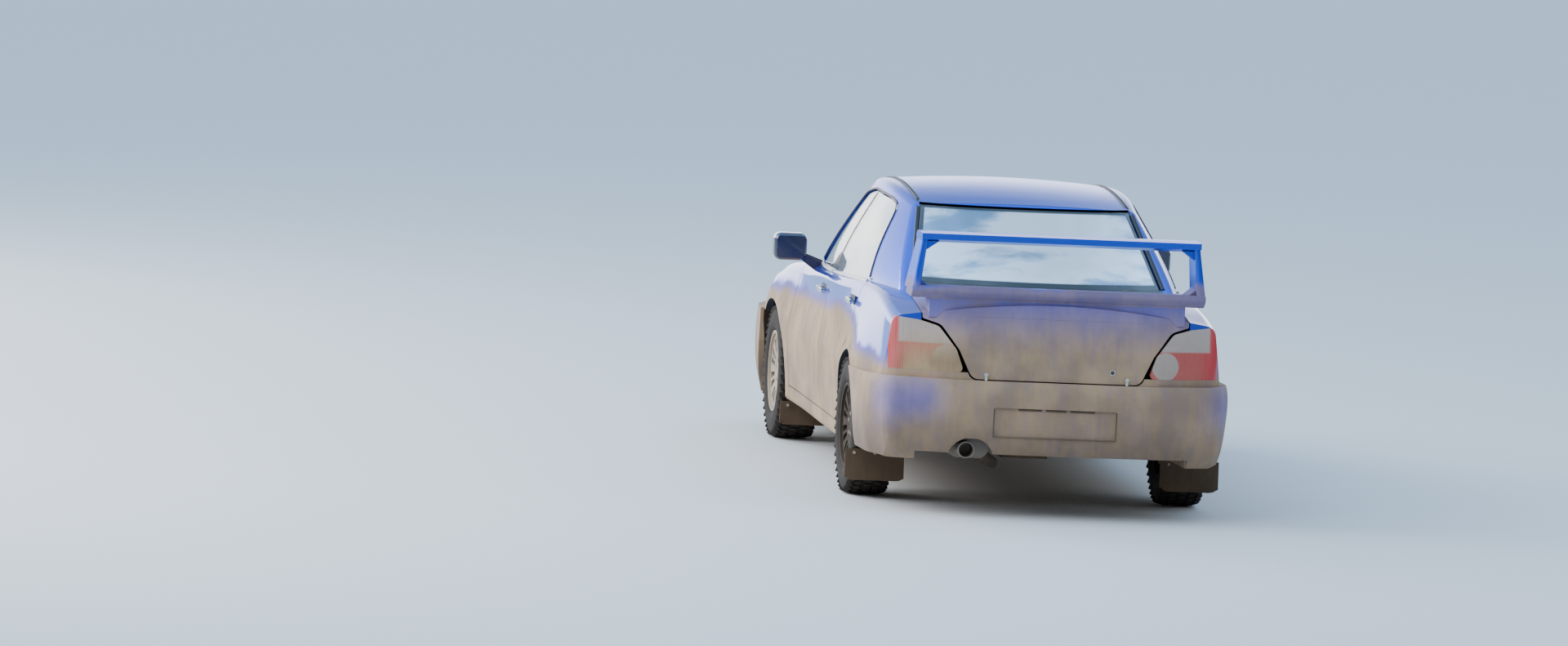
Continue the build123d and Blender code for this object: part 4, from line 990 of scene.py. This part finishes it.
def make_tyre():
    """Mesh of one tyre at the origin, with its axle along X."""
    bm = bmesh.new()
    section = TYRE_PROFILE + [(-x, r) for x, r in reversed(TYRE_PROFILE[:-1])]
    verts = [bm.verts.new((x, 0, r)) for x, r in section]
    edges = [bm.edges.new(pair) for pair in zip(verts, verts[1:])]
    edges.append(bm.edges.new((verts[-1], verts[0])))
    spin_round(bm, verts + edges, (1, 0, 0), 88)
    bmesh.ops.remove_doubles(bm, verts=bm.verts, dist=1e-5)
    for x, width, phase in BLOCK_ROWS:
        way = (x > 0) - (x < 0)
        skew = Matrix.Rotation(BLOCK_SKEW * way, 3, "Z")
        lean = Matrix.Rotation(SHOULDER_LEAN * way, 3, "Y") if abs(x) > SHOULDER_X else None
        drop = 0.0 if lean is None else SHOULDER_DROP
        for k in range(BLOCKS_ROUND):
            round_tyre = Matrix.Rotation(2 * pi * (k + phase) / BLOCKS_ROUND, 3, "X")
            made = add_block(bm, (0, 0, 0), (width, 0.031, 0.016), 0.0022, skew, segments=1)
            set_down(bm, made, (x, 0, TYRE_RADIUS - 0.0085 - drop), lean)
            bmesh.ops.rotate(bm, cent=(0, 0, 0), matrix=round_tyre, verts=made)
    mesh = bpy.data.meshes.new("gravel_tyre")
    bm.to_mesh(mesh)
    bm.free()
    return mesh


tyre_mesh = make_tyre()
for end, axle in AXLES.items():
    for side_name, side in SIDES:
        name = f"{end}_{side_name}"
        bm = bmesh.new()
        bm.from_mesh(tyre_mesh)
        bmesh.ops.translate(bm, vec=(side * WHEEL_X, axle, TYRE_RADIUS), verts=bm.verts)
        tyre = finish_piece(f"gravel_tyre_{name}", bm, tyre_rubber, f"wheel_{name}", 40)
        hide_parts(f"tyre_{name}")
print("tyre with", len(tyre_mesh.polygons), "faces")

# %% [markdown]
# The rims come from the solid model with their spokes and windows. Five wheel nuts and a
# valve bring each of them to life.

# %% Wheel nuts and valves
NUT_CIRCLE = 0.050
nut_steel = muddy_material("nut_steel", (0.25, 0.24, 0.23), 0.4, 0.9, top=1.2, depth=0.6, amount=0.6)

for end, axle in AXLES.items():
    for side_name, side in SIDES:
        name = f"{end}_{side_name}"
        bm = bmesh.new()
        for k in range(5):
            angle = radians(90 + 72 * k)
            y, z = axle + NUT_CIRCLE * cos(angle), TYRE_RADIUS + NUT_CIRCLE * sin(angle)
            nut_foot = (side * (WHEEL_X + 0.050), y, z)
            add_rod(bm, nut_foot, (side * (WHEEL_X + 0.0735), y, z), 0.0112, 0.010, 6)
        finish_piece(f"wheel_nuts_{name}", bm, nut_steel, f"wheel_{name}", 30)
        bm = bmesh.new()
        valve_foot = (side * (WHEEL_X + 0.066), axle + 0.168, TYRE_RADIUS + 0.02)
        valve_tip = (side * (WHEEL_X + 0.092), axle + 0.163, TYRE_RADIUS + 0.02)
        add_rod(bm, valve_foot, valve_tip, 0.0045, 0.0035, 10)
        finish_piece(f"valve_{name}", bm, rubber, f"wheel_{name}", 30)
print("wheel nuts and valves")

# %% [markdown]
# Mudflaps are thick rubber sheets. A subdivided sheet is bent a little backwards, its lower
# corners are rounded, and three bolts hold its top edge.

# %% Mudflaps
# Each flap has its inner and outer X, its Y, its foot and top in Z, and how far it leans.
FLAPS = {
    "rear": (0.605, 0.884, AXLES["rear"] + 0.355, 0.099, 0.244, 0.012),
    "front": (0.605, 0.852, AXLES["front"] + 0.408, 0.102, 0.2135, 0.008),
}
FLAP_THICKNESS = 0.006
FLAP_RIPPLE = 0.004
FLAP_CORNER = 0.198

for end, (x0, x1, y, z0, z1, lean) in FLAPS.items():
    for side_name, side in SIDES:
        bm = bmesh.new()
        for v in bmesh.ops.create_grid(bm, x_segments=12, y_segments=10, size=0.5)["verts"]:
            u, w = v.co.x + 0.5, v.co.y + 0.5
            corner = FLAP_CORNER * max(0, abs(u - 0.5) * 2 - 0.7) ** 2 if w < 0.08 else 0
            bent = lean * (1 - w) ** 2 + FLAP_RIPPLE * sin(u * 7 + y) * (1 - w)
            v.co = Vector((side * (x0 + (x1 - x0) * u), y + bent, z0 + (z1 - z0) * w + corner))
        bmesh.ops.recalc_face_normals(bm, faces=bm.faces)
        bmesh.ops.solidify(bm, geom=bm.faces[:], thickness=FLAP_THICKNESS)
        flap = finish_piece(f"flap_{end}_{side_name}", bm, flap_rubber, "shell", 50)
        if (end, side_name) == ("rear", "left"):
            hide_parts("mudflaps")
        bm = bmesh.new()
        for k in range(3):
            x = side * (x0 + (x1 - x0) * (0.15 + 0.35 * k))
            add_rod(bm, (x, y + 0.002, z1 - 0.018), (x, y + 0.010, z1 - 0.018), 0.008, 0.007, 6)
        finish_piece(f"flap_bolts_{end}_{side_name}", bm, nut_steel, "shell", 30)
print("four mudflaps")

# %% [markdown]
# The cabin is stripped for rallying. Each bucket seat is one shell of padded cloth: rows of
# points draw its seat, wings and tall back, a wall gives it thickness, and subdivision
# rounds it like upholstery.

# %% Bucket seats
SEAT_X = 0.370
# Each row has the Y and Z of its middle, its half width and the depth of its side wings.
SEAT_ROWS = (
    (-0.325, 0.375, 0.165, 0.03), (-0.30, 0.415, 0.180, 0.07), (-0.10, 0.385, 0.182, 0.085),
    (0.10, 0.375, 0.180, 0.09), (0.165, 0.44, 0.178, 0.10), (0.215, 0.62, 0.180, 0.11),
    (0.265, 0.80, 0.178, 0.10), (0.30, 0.905, 0.150, 0.06), (0.325, 0.985, 0.115, 0.05),
    (0.345, 1.045, 0.095, 0.02),
)
SEAT_THICKNESS = 0.045
# Each point of a belt has how far it has spread from the middle, its Y and its Z.
BELT_PATH = (
    (1.2, 0.345, 0.93), (1.15, 0.262, 0.915), (1.0, 0.205, 0.80), (0.9, 0.155, 0.62),
    (0.5, 0.06, 0.445), (0.0, 0.02, 0.405),
)


def make_bucket(x):
    bm = bmesh.new()
    rings = []
    for y, z, half, wing in SEAT_ROWS:
        leaning = min(1.0, max(0.0, (z - 0.40) / 0.25))
        rise = Vector((0, -wing * leaning, wing * (1 - leaning)))
        ring = []
        for across, raised in ((-1, 1), (-0.74, 0.15), (0, 0), (0.74, 0.15), (1, 1)):
            point = Vector((0, y, z)) + Vector((half * across, 0, 0)) + rise * raised
            ring.append(bm.verts.new(point + Vector((x, 0, 0))))
        rings.append(ring)
    for lower, upper in zip(rings, rings[1:]):
        for corners in zip(lower, lower[1:], upper[1:], upper):
            bm.faces.new(corners)
    bmesh.ops.recalc_face_normals(bm, faces=bm.faces)
    bmesh.ops.solidify(bm, geom=bm.faces[:], thickness=SEAT_THICKNESS)
    return bm


seat_cloth = muddy_material("seat_cloth", (0.03, 0.045, 0.11), 0.9, top=0.2, depth=0.1, amount=0.2)
tree = seat_cloth.node_tree
add_relief(tree, noise_node(tree, object_coordinates(tree), 420, 2, 0.5), 0.35, 0.001)
webbing = muddy_material("webbing", (0.30, 0.02, 0.02), 0.8, top=0.2, depth=0.1, amount=0.2)
for side_name, side in SIDES:
    middle = side * SEAT_X
    bm = make_bucket(middle)
    bucket = finish_piece(f"bucket_{side_name}", bm, seat_cloth, "shell", 60)
    rounding = bucket.modifiers.new("rounding", "SUBSURF")
    rounding.levels = rounding.render_levels = 2
    if side > 0:
        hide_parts("seats")
    bm = bmesh.new()
    for x in (-0.15, 0.15):
        add_block(bm, (middle + x, -0.06, 0.29), (0.02, 0.38, 0.10), 0.004)
    finish_piece(f"seat_rails_{side_name}", bm, dark_steel, "shell", 30)
    bm = bmesh.new()
    for x in (-0.055, 0.055):
        belt = [(middle + x * spread, y, z) for spread, y, z in BELT_PATH]
        add_strip(bm, belt, 0.045, 0.003, (0, -0.9, 0.45))
    finish_piece(f"belts_{side_name}", bm, webbing, "shell", 50)
print("two bucket seats")

# %% [markdown]
# The dashboard of the solid model keeps its shape. A hood over the dials, round gauges, a
# centre panel and a row of switches give it what a driver looks at.

# %% Dashboard
DRIVER_X = -0.370
DIALS = ((DRIVER_X - 0.075, 0.042), (DRIVER_X + 0.02, 0.05), (DRIVER_X + 0.105, 0.03))
dial_face = plain_material("dial_face", (0.02, 0.02, 0.02), 0.35)
dial_rim = plain_material("dial_rim", (0.5, 0.5, 0.5), 0.3, 1.0)

bm = bmesh.new()
add_block(bm, (DRIVER_X, -0.60, 0.852), (0.34, 0.16, 0.07), 0.025, segments=3)
add_block(bm, (0, -0.535, 0.72), (0.22, 0.05, 0.13), 0.015, segments=3)
finish_piece("dial_hood", bm, black_plastic, "shell", 40)
bm = bmesh.new()
rims = bmesh.new()
for x, radius in DIALS:
    add_rod(bm, (x, -0.54, 0.853), (x, -0.515, 0.858), radius * 0.45, segments=24)
    add_rod(rims, (x, -0.54, 0.853), (x, -0.519, 0.857), radius * 0.5, segments=24)
finish_piece("dials", bm, dial_face, "shell", 30)
finish_piece("dial_rims", rims, dial_rim, "shell", 30)
bm = bmesh.new()
for k in range(6):
    x = -0.075 + 0.03 * k
    add_rod(bm, (x, -0.512, 0.745), (x, -0.496, 0.748), 0.006, 0.005, 10)
finish_piece("switches", bm, plated, "shell", 30)
print("dashboard dressed")

# %% [markdown]
# The steering wheel is a ring of suede, spun from a small circle, with three flat spokes
# and a hub. It is made flat round the origin and then turned to the driver as a whole.

# %% Steering wheel
GRIP_RADIUS = 0.174
GRIP_THICKNESS = 0.0145
WHEEL_CENTRE = Vector((DRIVER_X, -0.380, 0.800))
WHEEL_TURN = Matrix.Rotation(radians(-65), 3, "X")
suede = muddy_material("suede", (0.018, 0.018, 0.02), 0.95, top=0.2, depth=0.1, amount=0.1)

bm = bmesh.new()
grip = bmesh.ops.create_circle(bm, segments=14, radius=GRIP_THICKNESS)["verts"]
set_down(bm, grip, (GRIP_RADIUS, 0, 0), Matrix.Rotation(radians(90), 3, "X"))
spin_round(bm, grip + list({e for v in grip for e in v.link_edges}), (0, 0, 1), 48)
bmesh.ops.remove_doubles(bm, verts=bm.verts, dist=1e-5)
for angle in (0, 180, 270):
    made = add_block(bm, (0.10, 0, -0.004), (0.145, 0.026, 0.005), 0.002)
    bmesh.ops.rotate(bm, cent=(0, 0, 0), matrix=Matrix.Rotation(radians(angle), 3, "Z"), verts=made)
add_rod(bm, (0, 0, -0.02), (0, 0, 0.012), 0.038, 0.032, 28)
set_down(bm, bm.verts, WHEEL_CENTRE, WHEEL_TURN)
grip_piece = finish_piece("steering_grip", bm, suede, "shell", 40)
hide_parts("steering_wheel")
bm = bmesh.new()
column_top, column_end = (WHEEL_CENTRE + WHEEL_TURN @ Vector((0, 0, z)) for z in (-0.018, -0.155))
add_rod(bm, column_top, column_end, 0.018, 0.021, 20)
finish_piece("steering_column", bm, dark_steel, "shell", 40)
print("steering wheel and column")

# %% [markdown]
# The front doesn't show in the photograph, so it gets the usual parts of its kind, first
# the lamp bowls and bulbs behind clear lenses.

# %% Headlamp bowls
BOWLS = ((0.475, 0.655, 0.036), (0.575, 0.66, 0.042))
BOWL_DEPTH = 0.035
bowl_chrome = plain_material("bowl_chrome", (0.75, 0.76, 0.78), 0.12, 1.0)
bulb_glass = plain_material("bulb_glass", (0.9, 0.88, 0.8), 0.1)


def add_bowl(bm, centre, radius, depth, facing):
    """Parabolic reflector spun from a short curve."""
    before = set(bm.verts)
    verts = [bm.verts.new((radius * t, 0, depth * (t * t - 1))) for t in (0.12, 0.35, 0.6, 0.8, 1.0)]
    edges = [bm.edges.new(pair) for pair in zip(verts, verts[1:])]
    spin_round(bm, verts + edges, (0, 0, 1), 32)
    made = [v for v in bm.verts if v not in before]
    set_down(bm, made, centre, Vector(facing).to_track_quat("Z", "Y").to_matrix())


for side_name, side in SIDES:
    bowls = bmesh.new()
    bulbs = bmesh.new()
    for x, z, radius in BOWLS:
        seat = touch("headlamps", (side * x, -2.6, z), (0, 1, 0)) + Vector((0, 0.045, 0))
        add_bowl(bowls, seat, radius, BOWL_DEPTH, (side * 0.12, -1, 0.02))
        add_rod(bulbs, seat + Vector((0, 0.03, 0)), seat + Vector((0, -0.002, 0)), 0.009, 0.006, 14)
    bowl = finish_piece(f"lamp_bowls_{side_name}", bowls, bowl_chrome, "shell", 60)
    skin = bowl.modifiers.new("skin", "SOLIDIFY")
    skin.thickness = 0.002
    finish_piece(f"lamp_bulbs_{side_name}", bulbs, bulb_glass, "shell", 40)
print("headlamp bowls")

# %% [markdown]
# Crossed wires fill the grille, the lower opening and the mouth of the scoop. A dark finned
# radiator closes the lower opening behind its mesh, and the fog lamps have plain round
# covers, as on a car that runs by day.

# %% Meshes, fog covers and radiator
FOG_PLACE = (0.585, -2.135, 0.330)
mesh_dark = muddy_material("mesh_dark", (0.02, 0.02, 0.022), 0.5, 0.5, top=0.6, depth=0.3, amount=0.5)
radiator_black = plain_material("radiator_black", (0.012, 0.012, 0.013), 0.6)


def add_mesh_panel(bm, x0, x1, z0, z1, y, step, bar):
    """Crossed bars in an opening that faces forwards."""
    for x in even_rows(x0, x1, int((x1 - x0) / step)):
        add_block(bm, (x, y, (z0 + z1) / 2), (bar, bar, z1 - z0))
    for z in even_rows(z0, z1, int((z1 - z0) / step)):
        add_block(bm, ((x0 + x1) / 2, y, z), (x1 - x0, bar, bar))


bm = bmesh.new()
add_mesh_panel(bm, -0.375, 0.375, 0.604, 0.69, -2.10, 0.014, 0.002)
add_mesh_panel(bm, -0.38, 0.38, 0.245, 0.375, -2.092, 0.016, 0.0025)
finish_piece("front_mesh", bm, mesh_dark, "shell", 0)
bm = bmesh.new()
add_mesh_panel(bm, -0.19, 0.19, 0.866, 0.898, -1.44, 0.012, 0.002)
finish_piece("scoop_mesh", bm, mesh_dark, "bonnet", 0)
for side_name, side in SIDES:
    x, y, z = FOG_PLACE
    bm = bmesh.new()
    add_rod(bm, (side * x, y + 0.03, z), (side * x, y, z), 0.0600, 0.0585, 40)
    finish_piece(f"fog_cover_{side_name}", bm, black_plastic, "shell")
bm = bmesh.new()
add_block(bm, (0, -1.975, 0.315), (0.86, 0.020, 0.19), 0.004)
for k in range(9):
    add_block(bm, (0, -1.987, 0.235 + 0.02 * k), (0.84, 0.006, 0.003))
finish_piece("radiator", bm, radiator_black, "shell")
print("front meshes, fog covers and radiator")

# %% [markdown]
# Two wipers lie on the windscreen. Each has a bent arm and a rubber blade that follows the
# glass.

# %% Wipers
# Each wiper has the X of its pivot, the X and Z of its tip, and how its blade rises per step.
WIPERS = ((-0.42, 0.02, 1.005, 0.004), (0.10, 0.52, 0.985, 0.0))
BLADE_STEP = 0.055

for index, (pivot_x, tip_x, tip_z, rise) in enumerate(WIPERS):
    pivot = touch("windscreen", (pivot_x, -2.0, 0.945), (0, 1, 0))
    tip = touch("windscreen", (tip_x, -2.0, tip_z), (0, 1, 0))
    bm = bmesh.new()
    add_rod(bm, pivot + Vector((0, -0.004, -0.004)), pivot + Vector((0, -0.03, 0.012)), 0.011, 0.009)
    elbow = (pivot + tip) / 2 + Vector((0, -0.05, 0.012))
    add_rod(bm, pivot + Vector((0, -0.026, 0.010)), elbow, 0.0045, 0.004, 8)
    add_rod(bm, elbow, tip + Vector((0, -0.022, 0.006)), 0.0045, 0.004, 8)
    finish_piece(f"wiper_arm_{index}", bm, rubber, "shell", 40)
    blade = [(tip_x + k * BLADE_STEP, -2.0, tip_z + k * rise) for k in range(-4, 5)]
    blade = trace("windscreen", blade, (0, 1, 0), (0, -0.003, 0.001))
    strip_piece(f"wiper_blade_{index}", blade, (0.010, 0.016), (0, -0.8, 0.6), rubber, "shell", 40)
print("two wipers")

# %% [markdown]
# Rays cast on the panels find the places of the smallest fittings, so that each one sits on
# the real surface: bonnet pins, the line round the fuel flap and a soft crease on the lid.

# %% Bonnet pins, fuel flap and lid crease
FUEL_FLAP_Y, FUEL_FLAP_Z = 1.62, 0.865


def squared(value):
    """Sine or cosine pushed outwards, which turns a circle into a rounded square."""
    return abs(value) ** 0.5 * (1 if value > 0 else -1)


bm = bmesh.new()
for side_name, side in SIDES:
    place = touch("bonnet", (side * 0.50, -1.86, 2.0), (0, 0, -1))
    add_rod(bm, place - Vector((0, 0, 0.002)), place + Vector((0, 0, 0.004)), 0.022, 0.021, 24)
    add_rod(bm, place + Vector((0, 0, 0.003)), place + Vector((0, 0, 0.022)), 0.005, 0.004, 12)
finish_piece("bonnet_pins", bm, plated, "bonnet", 30)

outline = []
for k in range(29):
    angle = 2 * pi * k / 28
    y = FUEL_FLAP_Y + 0.078 * squared(cos(angle))
    outline.append((-1.2, y, FUEL_FLAP_Z + 0.07 * squared(sin(angle))))
outline = trace("body_side_right", outline, (1, 0, 0))
strip_piece("fuel_flap_line", outline, (0.003, 0.0008), (-1, 0, 0.3), rubber, "shell", 0)

crease = [(x, 2.6, 0.932 - 0.03 * max(0.0, abs(x) - 0.30)) for x in even_rows(-0.40, 0.40, 30)]
crease = trace("boot_lid", crease, (0, -1, 0), (0, -0.0003, 0))
strip_piece("lid_crease", crease, (0.006, 0.0012), (0, 1, 0.2), paint_lid, "boot_lid", 60)
print("outer fittings done")

# %% [markdown]
# Inside, each door has a flat card with a rounded border and a pull strap, which show when
# the door stands open.

# %% Door cards
CARDS = (("front", -0.76, 0.08), ("rear", 0.26, 0.80))
# Each point of a pull strap has its distance from the door, its Y from the middle and its Z.
STRAP_PATH = (
    (0.007, -0.11, 0.80), (0.030, -0.05, 0.795), (0.034, 0, 0.792), (0.030, 0.05, 0.795),
    (0.007, 0.11, 0.80),
)
card_cloth = muddy_material(
    "card_cloth", (0.035, 0.035, 0.04), 0.85, top=0.5, depth=0.2, amount=0.4,
)
strap = plain_material("strap", (0.30, 0.02, 0.02), 0.8)

for side_name, side in SIDES:
    for door, y0, y1 in CARDS:
        node = f"door_{door}_{side_name}"
        middle = (y0 + y1) / 2
        inner = touch(node, (side * 0.3, middle, 0.65), (side, 0, 0)).x
        bm = bmesh.new()
        add_block(bm, (inner - side * 0.002, middle, 0.655), (0.010, y1 - y0, 0.46), 0.004)
        finish_piece(f"card_{door}_{side_name}", bm, card_cloth, node, 30)
        pull = [(inner - side * off, middle + along, z) for off, along, z in STRAP_PATH]
        pull_name = f"pull_{door}_{side_name}"
        strip_piece(pull_name, pull, (0.026, 0.003), (-side, 0, 0), strap, node, 40)
print("door cards done")

# %% [markdown]
# The box of the finished model is printed.

# %% Sizes
low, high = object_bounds()
print("visual box", [round(v, 3) for v in (*low, *high)])
